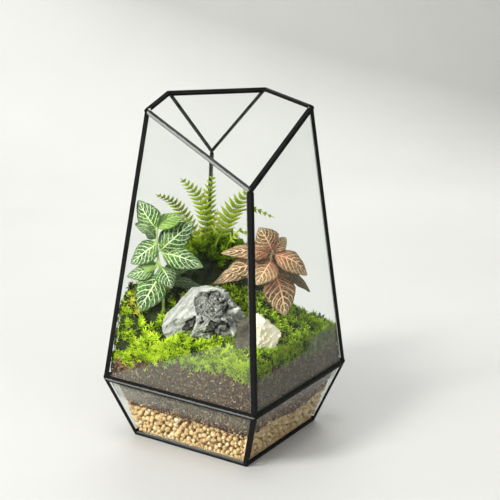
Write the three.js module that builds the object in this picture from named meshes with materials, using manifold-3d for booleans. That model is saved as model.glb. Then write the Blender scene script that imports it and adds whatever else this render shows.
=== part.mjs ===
// A planted glass terrarium: a square, flared bowl below a waist, a tall leaning body above it,
// cut off at a slant, with gravel, soil, moss, rocks, a fern and two nerve plants inside.
// Millimetres, +Z up, origin at the middle of the base. The front corner points to -Y.
import * as THREE from "three";
import { mergeVertices } from "three/addons/utils/BufferGeometryUtils.js";
import Module from "manifold-3d";

const wasm = await Module();
wasm.setup();

// Case
const WAIST_HEIGHT = 50.7;
const BASE_REACH = 75.2; // from the middle to a corner of the base
const WAIST_REACH = 100; // from the middle to a corner of the waist
const UPPER_LEAN = 0.161; // how far a corner moves in for each millimetre above the waist
const LOWER_FLARE = (WAIST_REACH - BASE_REACH) / WAIST_HEIGHT;
const SIDE_TOP_HEIGHT = 265; // top of the left and right corner bars
const FRONT_TOP_HEIGHT = 216.7; // top of the front and back corner bars
const RIDGE_HEIGHT = 275.5; // the straight bar at the top of the back
const RIDGE_LEFT_X = -45.8;
const RIDGE_RIGHT_X = 34.6;

// Metal bars and glass
const SHEET = 0.7; // thickness of the bent metal
const BASE_BAR_WIDTH = 3.8; // the width of each of a bar's two flanges
const WAIST_BAR_WIDTH = 2.7;
const LOWER_BAR_WIDTH = 3.2;
const UPPER_BAR_WIDTH = 4;
const BACK_BAR_WIDTH = 2.8;
const GABLE_BAR_WIDTH = 1.8;
const FRONT_RIM_WIDTH = 3;
const BACK_RIM_WIDTH = 2.2;
const GLASS = 1.6;
const SEAT_GAP = 0.25; // between metal and glass, and between two panes
const JOINT_GAP = 0.12; // taken off each bar end
const GLASS_OUTER = SHEET + SEAT_GAP;
const GLASS_INNER = GLASS_OUTER + GLASS;

// Fill
const FILL_GAP = 0.3;
const FILL_DEPTH = GLASS_INNER + FILL_GAP;
const GRAVEL_TOP = 31;
const MOSS_THICKNESS = 7;
const BLADE = 0.7; // thickness of a leaf

const MATERIALS = {
  metal: { color: 0x1a1c1c, roughness: 0.42, metalness: 0.6 },
  glass: { color: 0xdfe8e2, roughness: 0.04, metalness: 0, transparent: true, opacity: 0.2 },
  gravel: { color: 0xcfae7c, roughness: 0.75, metalness: 0 },
  soil: { color: 0x4b3727, roughness: 0.95, metalness: 0 },
  moss: { color: 0x8fae26, roughness: 0.9, metalness: 0 },
  mossDark: { color: 0x4d7a1b, roughness: 0.9, metalness: 0 },
  rockGrey: { color: 0x9a9b98, roughness: 0.88, metalness: 0 },
  rockTan: { color: 0xd8c7a0, roughness: 0.85, metalness: 0 },
  fern: { color: 0x84a834, roughness: 0.6, metalness: 0 },
  leafWhite: { color: 0x6c9a62, roughness: 0.5, metalness: 0 },
  leafPink: { color: 0xa58566, roughness: 0.5, metalness: 0 },
};

const terrarium = new THREE.Group();
const V = (x, y, z) => new THREE.Vector3(x, y, z);

function randomFrom(seed) {
  let state = seed;
  return () => {
    state = (state * 1664525 + 1013904223) % 4294967296;
    return state / 4294967296;
  };
}

// A closed solid from points and triangles, turned to face outwards.
function solid(points, triangles) {
  let volume = 0;
  for (const [a, b, c] of triangles) {
    volume += points[a].dot(V().crossVectors(points[b], points[c]));
  }
  const faces = volume < 0 ? triangles.map(([a, b, c]) => [a, c, b]) : triangles;
  return new wasm.Manifold(
    new wasm.Mesh({
      numProp: 3,
      vertProperties: new Float32Array(points.flatMap((p) => p.toArray())),
      triVerts: new Uint32Array(faces.flat()),
    }),
  );
}

function solidFromGeometry(geometry) {
  geometry.deleteAttribute("normal");
  geometry.deleteAttribute("uv");
  const merged = mergeVertices(geometry, 1e-4);
  return new wasm.Manifold(
    new wasm.Mesh({
      numProp: 3,
      vertProperties: merged.attributes.position.array,
      triVerts: new Uint32Array(merged.index.array),
    }),
  );
}

function largestBody(shape) {
  return shape.decompose().reduce((best, body) => (body.volume() > best.volume() ? body : best));
}

function addNode(name, shape, material) {
  const mesh = shape.getMesh();
  const geometry = new THREE.BufferGeometry();
  geometry.setAttribute("position", new THREE.BufferAttribute(mesh.vertProperties, 3));
  geometry.setIndex(new THREE.BufferAttribute(mesh.triVerts, 1));
  const node = new THREE.Mesh(geometry, new THREE.MeshStandardMaterial(MATERIALS[material]));
  node.name = name;
  terrarium.add(node);
}

// Joins two rings of points of the same length; the caps are given as index triples.
function loft(ringA, ringB, caps) {
  const n = ringA.length;
  const triangles = [];
  for (let i = 0; i < n; i++) {
    const j = (i + 1) % n;
    triangles.push([i, j, n + j], [i, n + j, n + i]);
  }
  for (const [a, b, c] of caps) {
    triangles.push([c, b, a], [n + a, n + b, n + c]);
  }
  return solid([...ringA, ...ringB], triangles);
}

const fan = (n) => Array.from({ length: n - 2 }, (_, i) => [0, i + 1, i + 2]);

// ---------------------------------------------------------------- case

const upperReach = (z) => WAIST_REACH - UPPER_LEAN * (z - WAIST_HEIGHT);
const DIRECTIONS = { left: V(-1, 0, 0), front: V(0, -1, 0), right: V(1, 0, 0), back: V(0, 1, 0) };
const TOP_HEIGHTS = {
  left: SIDE_TOP_HEIGHT,
  front: FRONT_TOP_HEIGHT,
  right: SIDE_TOP_HEIGHT,
  back: FRONT_TOP_HEIGHT,
};
const SIDES = [
  ["left", "front"],
  ["front", "right"],
  ["right", "back"],
  ["back", "left"],
];

const corners = {};
for (const [name, direction] of Object.entries(DIRECTIONS)) {
  const top = TOP_HEIGHTS[name];
  corners["base_" + name] = direction.clone().multiplyScalar(BASE_REACH);
  corners["waist_" + name] = direction.clone().multiplyScalar(WAIST_REACH).setZ(WAIST_HEIGHT);
  corners["top_" + name] = direction.clone().multiplyScalar(upperReach(top)).setZ(top);
}
for (const [name, x] of [["ridge_left", RIDGE_LEFT_X], ["ridge_right", RIDGE_RIGHT_X]]) {
  corners[name] = V(x, upperReach(RIDGE_HEIGHT) - Math.abs(x), RIDGE_HEIGHT);
}

const sideName = (a, b) => (["left", "right"].includes(a) ? b + "_" + a : a + "_" + b);
const faces = { base: ["base_left", "base_back", "base_right", "base_front"] };
for (const [a, b] of SIDES) {
  const side = sideName(a, b);
  faces["lower_" + side] = ["base_" + a, "base_" + b, "waist_" + b, "waist_" + a];
  faces["upper_" + side] = ["waist_" + a, "waist_" + b, "top_" + b, "top_" + a];
}
faces.upper_back_right = ["waist_right", "waist_back", "top_back", "ridge_right", "top_right"];
faces.upper_back_left = ["waist_back", "waist_left", "top_left", "ridge_left", "top_back"];
faces.gable = ["top_back", "ridge_left", "ridge_right"];

const normals = {};
for (const [name, loop] of Object.entries(faces)) {
  const [a, b, c] = loop.map((corner) => corners[corner]);
  const normal = V().crossVectors(b.clone().sub(a), c.clone().sub(a)).normalize();
  const outwards = a.clone().sub(V(0, 0, RIDGE_HEIGHT / 2));
  normals[name] = normal.dot(outwards) < 0 ? normal.negate() : normal;
}

const facesAt = (...names) =>
  Object.keys(faces).filter((face) => names.every((name) => faces[face].includes(name)));

function solveThree(rows, values) {
  const m = new THREE.Matrix3().set(...rows.flatMap((row) => row.toArray()));
  return V(...values).applyMatrix3(m.invert());
}

// The way from a corner to the point one unit under each face that meets there.
function inwardAt(corner) {
  const around = facesAt(corner);
  if (around.length > 2) {
    return solveThree(around.slice(0, 3).map((face) => normals[face]), [-1, -1, -1]);
  }
  return solveThree([...around.map((face) => normals[face]), seam(corner)], [-1, -1, 0]);
}

// At a corner of the mouth: the direction of the bar that runs down between its two panes.
function seam(corner) {
  const [a, b] = facesAt(corner);
  const other = faces[a].find((name) => name !== corner && faces[b].includes(name));
  return corners[other].clone().sub(corners[corner]).normalize();
}

// A point of a bar's end at a corner: `across` from the edge in the face, `depth` under the face.
// The end lies on the line that halves the corner of the face, or on the seam.
function endPoint(face, from, to, across, depth, onSeam) {
  const corner = corners[from];
  const along = corners[to].clone().sub(corner).normalize();
  const loop = faces[face];
  const at = loop.indexOf(from);
  const ways = [loop[(at + 1) % loop.length], loop[(at + loop.length - 1) % loop.length]].map(
    (name) => corners[name].clone().sub(corner).normalize(),
  );
  const half = onSeam ? seam(from) : ways[0].clone().add(ways[1]).normalize();
  const inFace = V().crossVectors(normals[face], along);
  if (inFace.dot(ways[0].clone().add(ways[1])) < 0) inFace.negate();
  const inward = inwardAt(from);
  const step = (across - depth * inFace.dot(inward)) / inFace.dot(half);
  return corner
    .clone()
    .addScaledVector(half, step)
    .addScaledVector(inward, depth)
    .addScaledVector(along, JOINT_GAP);
}

const ANGLE_CAPS = [
  [0, 1, 2],
  [0, 2, 3],
  [0, 3, 4],
  [0, 4, 5],
];
function angleBar(from, to, width) {
  const [faceA, faceB] = facesAt(from, to);
  const ring = (a, b) => [
    endPoint(faceA, a, b, 0, 0),
    endPoint(faceA, a, b, width, 0),
    endPoint(faceA, a, b, width, SHEET),
    corners[a]
      .clone()
      .addScaledVector(inwardAt(a), SHEET)
      .addScaledVector(corners[b].clone().sub(corners[a]).normalize(), JOINT_GAP),
    endPoint(faceB, a, b, width, SHEET),
    endPoint(faceB, a, b, width, 0),
  ];
  return loft(ring(from, to), ring(to, from), ANGLE_CAPS);
}

const CHANNEL_CAPS = [
  [0, 1, 2],
  [0, 2, 3],
  [0, 3, 4],
  [0, 4, 7],
  [7, 4, 5],
  [7, 5, 6],
];
function channelBar(from, to, width) {
  const [face] = facesAt(from, to);
  const inner = GLASS_INNER + SEAT_GAP;
  const ring = (a, b) => [
    endPoint(face, a, b, 0, 0, false),
    endPoint(face, a, b, width, 0, false),
    endPoint(face, a, b, width, SHEET, false),
    endPoint(face, a, b, SHEET, SHEET, false),
    endPoint(face, a, b, SHEET, inner, true),
    endPoint(face, a, b, width, inner, true),
    endPoint(face, a, b, width, inner + SHEET, true),
    endPoint(face, a, b, 0, inner + SHEET, true),
  ];
  return loft(ring(from, to), ring(to, from), CHANNEL_CAPS);
}

// A pane sits under its face and stops short of its neighbour, or of the rim's web.
function pane(face) {
  const loop = faces[face];
  const n = loop.length;
  const ringAt = (depth) =>
    loop.map((name, i) => {
      const rows = [normals[face]];
      const values = [-depth];
      for (const other of [loop[(i + 1) % n], loop[(i + n - 1) % n]]) {
        const along = corners[other].clone().sub(corners[name]).normalize();
        const inFace = V().crossVectors(normals[face], along);
        const middle = loop.reduce((sum, c) => sum.add(corners[c]), V()).divideScalar(n);
        if (inFace.dot(middle.sub(corners[name])) < 0) inFace.negate();
        const neighbour = facesAt(name, other).find((f) => f !== face);
        let inset = SHEET + SEAT_GAP;
        if (neighbour) {
          const cosine = normals[face].dot(normals[neighbour]);
          const lean = -inFace.dot(normals[neighbour]) / (1 + cosine);
          inset = SEAT_GAP + depth * lean;
        }
        rows.push(inFace);
        values.push(inset);
      }
      return solveThree(rows, values).add(corners[name]);
    });
  return loft(ringAt(GLASS_OUTER), ringAt(GLASS_INNER), fan(n));
}

for (const [a, b] of SIDES) {
  const side = sideName(a, b);
  const upperWidth = a === "back" ? BACK_BAR_WIDTH : UPPER_BAR_WIDTH;
  addNode("base_bar_" + side, angleBar("base_" + a, "base_" + b, BASE_BAR_WIDTH), "metal");
  addNode("waist_bar_" + side, angleBar("waist_" + a, "waist_" + b, WAIST_BAR_WIDTH), "metal");
  addNode("lower_bar_" + a, angleBar("base_" + a, "waist_" + a, LOWER_BAR_WIDTH), "metal");
  addNode("upper_bar_" + a, angleBar("waist_" + a, "top_" + a, upperWidth), "metal");
}
for (const [name, from, to, width] of [
  ["front_left", "top_left", "top_front", FRONT_RIM_WIDTH],
  ["front_right", "top_front", "top_right", FRONT_RIM_WIDTH],
  ["back_right", "top_right", "ridge_right", BACK_RIM_WIDTH],
  ["back_left", "top_left", "ridge_left", BACK_RIM_WIDTH],
  ["ridge", "ridge_left", "ridge_right", BACK_RIM_WIDTH],
]) {
  addNode("rim_bar_" + name, channelBar(from, to, width), "metal");
}
addNode("gable_bar_left", angleBar("top_back", "ridge_left", GABLE_BAR_WIDTH), "metal");
addNode("gable_bar_right", angleBar("top_back", "ridge_right", GABLE_BAR_WIDTH), "metal");
for (const face of Object.keys(faces)) {
  addNode("pane_" + face, pane(face), "glass");
}

// ---------------------------------------------------------------- fill

const clamp01 = (t) => Math.min(1, Math.max(0, t));
const smooth = (t) => clamp01(t) ** 2 * (3 - 2 * clamp01(t));

// How far from the middle, towards a corner, the fill may reach at a height.
const upperSlant = Math.hypot(1, 1, UPPER_LEAN);
const lowerSlant = Math.hypot(1, 1, LOWER_FLARE);
function fillReach(z, depth) {
  const above = upperReach(z) - depth * upperSlant;
  const below = BASE_REACH + LOWER_FLARE * z - depth * lowerSlant;
  return Math.min(above, below);
}

// The fill stays back from the left and right corners, most of all under the waist.
const SIDE_HOLLOW = 4.3;
function sideReach(z) {
  const hollow = SIDE_HOLLOW * smooth(z / 36) * smooth((WAIST_HEIGHT + 9 - z) / 12);
  return fillReach(z, FILL_DEPTH) - 0.5 - hollow;
}

// The ground: low in front, a steep bank behind it, a mound at the back corner.
const FRONT_MOSS_HEIGHT = 85;
const BANK_RISE = 31;
function groundHeight(x, y) {
  const dips = 7 * smooth((-x - 50) / 30) + 9 * smooth((x - 48) / 26);
  const rise = BANK_RISE - 20 * smooth((x - 15) / 45) + 10 * smooth((-x - 50) / 25);
  const across = y + 24 - 4.7 * Math.abs(x / 50) ** 4 * (x < 0 ? 1 : 0.35);
  const bank = rise * smooth((across + 25) / 50);
  const mound = 32 * Math.exp(-(Math.abs((x + 1) / 36) ** 4)) * smooth((y - 4) / 30);
  const lumps = 1.3 * Math.sin(x / 9 + 1.3) * Math.cos(y / 8) + 0.9 * Math.sin(x / 4.1 + y / 5.3);
  return FRONT_MOSS_HEIGHT - dips + bank + mound + lumps;
}

// The moss piles up in the left corner.
function mossHeight(x, y) {
  return groundHeight(x, y) + 36 * smooth((-x - 67) / 16);
}
function soilHeight(x, y) {
  return groundHeight(x, y) - MOSS_THICKNESS - 1.2 * Math.sin(x / 6) * Math.sin(y / 7);
}
const gravelHeight = (x, y) => GRAVEL_TOP + 1.8 * Math.sin(x / 11 + 0.6) + 1.6 * Math.cos(y / 9);

// Everything under a surface: a block whose top follows height(x, y, i, j).
const FIELD_HALF = 104;
const FIELD_BOTTOM = -10;
function under(height, step, shift = () => 0) {
  const n = Math.ceil((2 * FIELD_HALF) / step);
  const points = [];
  const triangles = [];
  const at = (i, j) => j * (n + 1) + i;
  const low = (n + 1) ** 2;
  for (const top of [true, false]) {
    for (let j = 0; j <= n; j++) {
      for (let i = 0; i <= n; i++) {
        const x = -FIELD_HALF + i * step + shift(i, j, 0);
        const y = -FIELD_HALF + j * step + shift(i, j, 1);
        points.push(V(x, y, top ? height(x, y, i, j) : FIELD_BOTTOM));
      }
    }
  }
  for (let j = 0; j < n; j++) {
    for (let i = 0; i < n; i++) {
      const [a, b, c, d] = [at(i, j), at(i + 1, j), at(i + 1, j + 1), at(i, j + 1)];
      const split = (i + j) % 2 ? [[a, b, c], [a, c, d]] : [[a, b, d], [b, c, d]];
      for (const [p, q, r] of split) {
        triangles.push([p, q, r], [low + r, low + q, low + p]);
      }
    }
    for (const [p, q] of [
      [at(j + 1, 0), at(j, 0)],
      [at(j, n), at(j + 1, n)],
      [at(0, j), at(0, j + 1)],
      [at(n, j + 1), at(n, j)],
    ]) {
      triangles.push([p, q, low + q], [p, low + q, low + p]);
    }
  }
  return solid(points, triangles);
}

// A stack of rings joined into one closed body.
function ringStack(rings) {
  const n = rings[0].length;
  const points = rings.flat();
  const triangles = [];
  for (let k = 0; k + 1 < rings.length; k++) {
    for (let i = 0; i < n; i++) {
      const [a, b] = [k * n + i, k * n + ((i + 1) % n)];
      if ((i + k) % 2) triangles.push([a, b, a + n], [b, b + n, a + n]);
      else triangles.push([a, b, b + n], [a, b + n, a + n]);
    }
  }
  const last = (rings.length - 1) * n;
  const ends = [[0, rings[0]], [last, rings[rings.length - 1]]];
  for (const [start, ring] of ends) {
    const middle = points.push(ring.reduce((sum, p) => sum.add(p), V()).divideScalar(n)) - 1;
    for (let i = 0; i < n; i++) {
      const [a, b] = [start + i, start + ((i + 1) % n)];
      triangles.push(start ? [a, b, middle] : [b, a, middle]);
    }
  }
  return solid(points, triangles);
}

function fillRing(z) {
  const reach = fillReach(z, FILL_DEPTH);
  const side = sideReach(z);
  const rest = reach - side;
  return [
    V(-side, -rest, z),
    V(0, -reach, z),
    V(side, -rest, z),
    V(side, rest, z),
    V(0, reach, z),
    V(-side, rest, z),
  ];
}
const inside = ringStack([FILL_DEPTH, 12, 24, 36, WAIST_HEIGHT, 55, 60, 175].map(fillRing));

// Gravel: the sides bulge with pebbles, wider than life.
const PEBBLE = 7.8;
const PEBBLE_RELIEF = 1.5;
const GRAVEL_ROWS = 8;
function pebbleRing(k, random) {
  const z = FILL_DEPTH + (k * (GRAVEL_TOP + 9 - FILL_DEPTH)) / GRAVEL_ROWS;
  const outline = fillRing(z);
  const ring = [];
  outline.forEach((start, i) => {
    const end = outline[(i + 1) % outline.length];
    const base = fillRing(FILL_DEPTH);
    const length = base[i].distanceTo(base[(i + 1) % base.length]);
    const count = 2 * Math.max(1, Math.round(length / PEBBLE));
    const inward = V(start.y - end.y, end.x - start.x, 0).normalize();
    for (let m = 0; m < count; m++) {
      const crest = (ring.length + k) % 2 === 0;
      const sink = crest ? 0.5 * random() : PEBBLE_RELIEF * (0.8 + 0.4 * random());
      const spread = m === 0 ? 0 : 0.22 * (random() - 0.5);
      ring.push(start.clone().lerp(end, (m + spread) / count).addScaledVector(inward, sink + 0.05));
    }
  });
  return ring;
}
const pebbleRandom = randomFrom(11);
const pebbleRings = [];
for (let k = 0; k <= GRAVEL_ROWS; k++) pebbleRings.push(pebbleRing(k, pebbleRandom));
const gravelTop = under(gravelHeight, 11);
addNode("gravel", ringStack(pebbleRings).intersect(gravelTop), "gravel");

// Rocks: a ball flattened by facets, each an outward direction and its distance from the centre.
function rock(centre, radii, facets, detail) {
  const geometry = new THREE.IcosahedronGeometry(1, detail);
  const position = geometry.attributes.position;
  for (let i = 0; i < position.count; i++) {
    const way = V().fromBufferAttribute(position, i).normalize();
    let reach = 1.06;
    for (const [x, y, z, distance] of facets) {
      const facing = way.dot(V(x, y, z).normalize());
      if (facing > 0.2) reach = Math.min(reach, distance / facing);
    }
    reach += 0.025 * Math.sin(11 * way.x + 2) * Math.sin(9 * way.z - 1) * Math.cos(8 * way.y);
    reach -= 0.03 * Math.abs(Math.sin(5 * way.x - 7 * way.z + 3 * way.y));
    position.setXYZ(i, ...way.multiplyScalar(reach).toArray());
  }
  geometry.scale(...radii).translate(...centre);
  return solidFromGeometry(geometry);
}
const grow = (shape, centre, share) =>
  shape
    .translate(centre.map((value) => -value))
    .scale(1 + share)
    .translate(centre);

const GREY_CENTRE = [-23.5, -25, 104];
const GREY_FACETS = [
  [-0.99, 0, 0.13, 0.96],
  [-0.81, 0, 0.59, 0.89],
  [-0.1, 0, 0.99, 1],
  [0.83, 0, 0.55, 0.84],
  [0.95, 0, -0.3, 0.88],
  [-0.5, -0.72, 0.48, 0.82],
  [0.15, -0.9, 0.4, 0.84],
  [0.62, -0.72, 0.3, 0.8],
  [-0.5, -0.8, -0.3, 0.86],
  [0.2, -0.85, -0.5, 0.84],
  [-0.4, 0.8, 0.45, 0.85],
  [0.5, 0.8, 0.35, 0.85],
  [0, 1, -0.2, 0.88],
  [0.1, 0.45, 0.89, 0.92],
  [0, 0, -1, 0.95],
];
const TAN_CENTRE = [12, -52, 96.5];
const TAN_FACETS = [
  [0.66, 0, 0.75, 0.8],
  [-0.5, 0, 0.86, 0.88],
  [0.9, 0, -0.43, 0.84],
  [-0.95, 0, 0.1, 0.9],
  [0.45, -0.88, 0.1, 0.8],
  [-0.5, -0.84, 0.2, 0.82],
  [0.1, -0.8, -0.6, 0.85],
  [0.5, 0.85, 0.2, 0.85],
  [-0.4, 0.9, 0.1, 0.86],
  [0, 0, -1, 0.9],
];
const greyRock = rock(GREY_CENTRE, [34, 18, 27], GREY_FACETS, 5);
const tanRock = rock(TAN_CENTRE, [17.5, 11.5, 18], TAN_FACETS, 3);
addNode("rock_grey", greyRock, "rockGrey");
addNode("rock_tan", tanRock, "rockTan");

// ---------------------------------------------------------------- plants

function tube(path, radii, sides, steps) {
  const rings = [];
  const n = steps ?? 6;
  for (let k = 0; k <= n; k++) {
    const u = k / n;
    const centre = path.getPoint(u);
    const along = path.getTangent(u);
    const side = V(0.3, 1, 0.1).cross(along).normalize();
    const up = V().crossVectors(along, side);
    const radius = radii[0] + (radii[1] - radii[0]) * u;
    rings.push(
      Array.from({ length: sides }, (_, i) => {
        const angle = (2 * Math.PI * i) / sides;
        return centre
          .clone()
          .addScaledVector(side, radius * Math.cos(angle))
          .addScaledVector(up, radius * Math.sin(angle));
      }),
    );
  }
  return ringStack(rings);
}

// A leaf blade from base to tip. Its midrib lifts towards `facing`, its edges sink away from it.
const LEAF_STEPS = 5;
const LEAF_STRIPS = 4;
function leafBlade({ base, tip, width, facing, arch, cup }) {
  const chord = tip.clone().sub(base);
  const length = chord.length();
  const lift = facing.clone().addScaledVector(chord, -facing.dot(chord) / length ** 2).normalize();
  const crown = base.clone().lerp(tip, 0.42).addScaledVector(lift, 2 * arch);
  const midrib = new THREE.QuadraticBezierCurve3(base, crown, tip);
  const top = [];
  const bottom = [];
  for (let k = 0; k <= LEAF_STEPS; k++) {
    const u = k / LEAF_STEPS;
    const centre = midrib.getPoint(u);
    const along = midrib.getTangent(u);
    const side = V().crossVectors(along, lift).normalize();
    const up = V().crossVectors(side, along).normalize();
    const half = 0.45 + (width / 2) * Math.sin(Math.PI * u ** 0.8) ** 0.8;
    for (let s = 0; s <= LEAF_STRIPS; s++) {
      const across = (2 * s) / LEAF_STRIPS - 1;
      const ripple = 0.25 * (k % 2 ? 1 : -1) * (Math.abs(across) === 0.5 ? 1 : 0);
      const point = centre
        .clone()
        .addScaledVector(side, across * half)
        .addScaledVector(up, ripple - cup * half * across ** 2);
      top.push(point);
      bottom.push(point.clone().addScaledVector(up, -BLADE));
    }
  }
  const row = LEAF_STRIPS + 1;
  const low = top.length;
  const triangles = [];
  for (let k = 0; k < LEAF_STEPS; k++) {
    for (let s = 0; s < LEAF_STRIPS; s++) {
      const a = k * row + s;
      const [b, c, d] = [a + 1, a + row + 1, a + row];
      const split = s < LEAF_STRIPS / 2 ? [[a, b, d], [b, c, d]] : [[a, b, c], [a, c, d]];
      for (const [p, q, r] of split) triangles.push([p, q, r], [low + r, low + q, low + p]);
    }
  }
  const rim = [];
  for (let s = 0; s < LEAF_STRIPS; s++) rim.push(s);
  for (let k = 0; k < LEAF_STEPS; k++) rim.push(k * row + LEAF_STRIPS);
  for (let s = LEAF_STRIPS; s > 0; s--) rim.push(LEAF_STEPS * row + s);
  for (let k = LEAF_STEPS; k > 0; k--) rim.push(k * row);
  rim.forEach((p, i) => {
    const q = rim[(i + 1) % rim.length];
    triangles.push([q, p, low + p], [q, low + p, low + q]);
  });
  return solid([...top, ...bottom], triangles);
}

// A nerve plant: a stem, and on it leaves, each on a short stalk from a share of the stem's length.
const STEM_RADIUS = 1.1;
const STALK_RADIUS = 0.7;
const LEAF_FULLNESS = 1.14;
const STALK_LEFT_BARE = 0.7; // share of the way from the stem to a leaf's listed base
function nervePlant({ stem, leaves }) {
  const path = new THREE.CatmullRomCurve3(stem.map((point) => V(...point)));
  let plant = tube(path, [STEM_RADIUS, 0.8], 6, 8);
  for (const { from, base, tip, width, facing, arch = 3, cup = 0.22 } of leaves) {
    const foot = path.getPoint(from);
    const start = foot.clone().lerp(V(...base), STALK_LEFT_BARE);
    const reach = start.clone().lerp(V(...tip), 0.08);
    const stalk = new THREE.LineCurve3(foot, reach);
    const blade = leafBlade({
      base: start,
      tip: V(...tip),
      width: LEAF_FULLNESS * width,
      facing: V(...facing).normalize(),
      arch,
      cup,
    });
    plant = plant.add(tube(stalk, [STALK_RADIUS, 0.5], 4, 1)).add(blade);
  }
  return largestBody(plant);
}

// Leaves from the top of the stem down: where the stalk leaves the stem, base, tip, width, and
// the way the upper side faces.
const WHITE_STEM = [
  [-53, -8, 100],
  [-54, -9, 129],
  [-57, -10, 147],
  [-58.5, -8.5, 163],
  [-58, -8, 174],
];
const WHITE_LEAVES = [
  {
    from: 1,
    base: [-59, -7.5, 173.5],
    tip: [-71.5, -1, 194.5],
    width: 16,
    facing: [-0.8, -1, 0.15],
    arch: 2,
  },
  {
    from: 0.97,
    base: [-60.5, -5.5, 172.5],
    tip: [-73.5, 1, 175.5],
    width: 9.5,
    facing: [-0.2, -0.8, 0.8],
    arch: 2,
  },
  {
    from: 1,
    base: [-58, -6.5, 173.5],
    tip: [-34.5, -1, 180.5],
    width: 13,
    facing: [0, -0.5, 1],
    arch: 5,
  },
  {
    from: 0.74,
    base: [-54.5, -10, 153.5],
    tip: [-29, -5, 177],
    width: 17.5,
    facing: [0.1, -1, 0.6],
    arch: 3,
  },
  {
    from: 0.8,
    base: [-58, -9.5, 160],
    tip: [-77.5, -1.5, 144.5],
    width: 14.5,
    facing: [-0.45, -1, 0.6],
    arch: 2,
  },
  {
    from: 0.66,
    base: [-52.5, -12, 153],
    tip: [-24, -20, 144.5],
    width: 14,
    facing: [0.15, -0.8, 1],
    arch: 4.5,
  },
  {
    from: 0.5,
    base: [-61, -7, 137.5],
    tip: [-80.5, -1, 134],
    width: 10,
    facing: [-0.3, -0.7, 1],
    arch: 2.5,
  },
  {
    from: 0.45,
    base: [-56, -11.5, 134.5],
    tip: [-73, -8, 107],
    width: 19,
    facing: [-0.3, -1, 0.2],
    arch: 2.5,
  },
  {
    from: 0.52,
    base: [-55, -13.5, 141.5],
    tip: [-49, -23, 129.5],
    width: 14.5,
    facing: [0.1, -1, 0.75],
    arch: 3.5,
  },
  {
    from: 0.36,
    base: [-46, -5, 126.5],
    tip: [-20, -2, 121.5],
    width: 10,
    facing: [0, -0.5, 1],
    arch: 4,
  },
  {
    from: 0.47,
    base: [-50.5, -4, 134],
    tip: [-28.5, 3, 140],
    width: 11,
    facing: [0, -0.7, 1],
    arch: 2.5,
  },
  {
    from: 0.85,
    base: [-59, -9, 165.5],
    tip: [-67, -5.5, 174],
    width: 7,
    facing: [-0.4, -1, 0.5],
    arch: 1.5,
  },
  {
    from: 0.55,
    base: [-58.5, -9, 140.5],
    tip: [-69.5, -3, 142.5],
    width: 8,
    facing: [-0.3, -0.8, 1],
    arch: 1.5,
  },
];
const PINK_STEM = [
  [34, -12, 96],
  [34.5, -12, 120],
  [32, -13, 138],
  [31, -13, 147],
  [33, -12, 153],
];
const PINK_LEAVES = [
  {
    from: 1,
    base: [31, -12.5, 153],
    tip: [21, -12, 172],
    width: 18.5,
    facing: [0.1, -1, 0.35],
    arch: 3,
  },
  {
    from: 1,
    base: [33, -10.5, 153],
    tip: [45, -4, 161],
    width: 10.5,
    facing: [-0.2, -0.8, 0.7],
    arch: 1.5,
  },
  {
    from: 0.93,
    base: [35, -12.5, 148.5],
    tip: [60, -17, 133],
    width: 17,
    facing: [0.35, -0.85, 0.8],
    arch: 6,
  },
  { from: 0.93, base: [27, -14, 150], tip: [-9, -17, 154], width: 14.5, facing: [0, -0.5, 1], arch: 4 },
  {
    from: 0.86,
    base: [24, -15.5, 141],
    tip: [-5.5, -22, 141],
    width: 16.5,
    facing: [-0.1, -1, 0.7],
    arch: 3.5,
  },
  {
    from: 0.8,
    base: [22, -11, 140.5],
    tip: [-13.5, -8.5, 127],
    width: 13,
    facing: [-0.1, -0.7, 1],
    arch: 4,
  },
  {
    from: 0.86,
    base: [30.5, -16.5, 144],
    tip: [15.5, -30, 131],
    width: 17.5,
    facing: [-0.1, -1, 0.9],
    arch: 3,
  },
  {
    from: 0.6,
    base: [36, -16, 130.5],
    tip: [41, -24.5, 102.5],
    width: 22.5,
    facing: [0.15, -1, 0.4],
    arch: 3,
  },
  {
    from: 0.75,
    base: [39, -10.5, 136],
    tip: [66, -6, 115.5],
    width: 12,
    facing: [0.3, -0.6, 0.9],
    arch: 4,
  },
  {
    from: 0.8,
    base: [30, -9, 147.5],
    tip: [23.5, -1, 158],
    width: 9,
    facing: [0.7, -1, 0.1],
    arch: 1.5,
  },
  {
    from: 0.78,
    base: [34, -12.5, 142],
    tip: [46, -15, 131.5],
    width: 12,
    facing: [0.4, -0.8, 0.7],
    arch: 2,
  },
];
addNode("nerve_plant_white", nervePlant({ stem: WHITE_STEM, leaves: WHITE_LEAVES }), "leafWhite");
addNode("nerve_plant_pink", nervePlant({ stem: PINK_STEM, leaves: PINK_LEAVES }), "leafPink");

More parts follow.
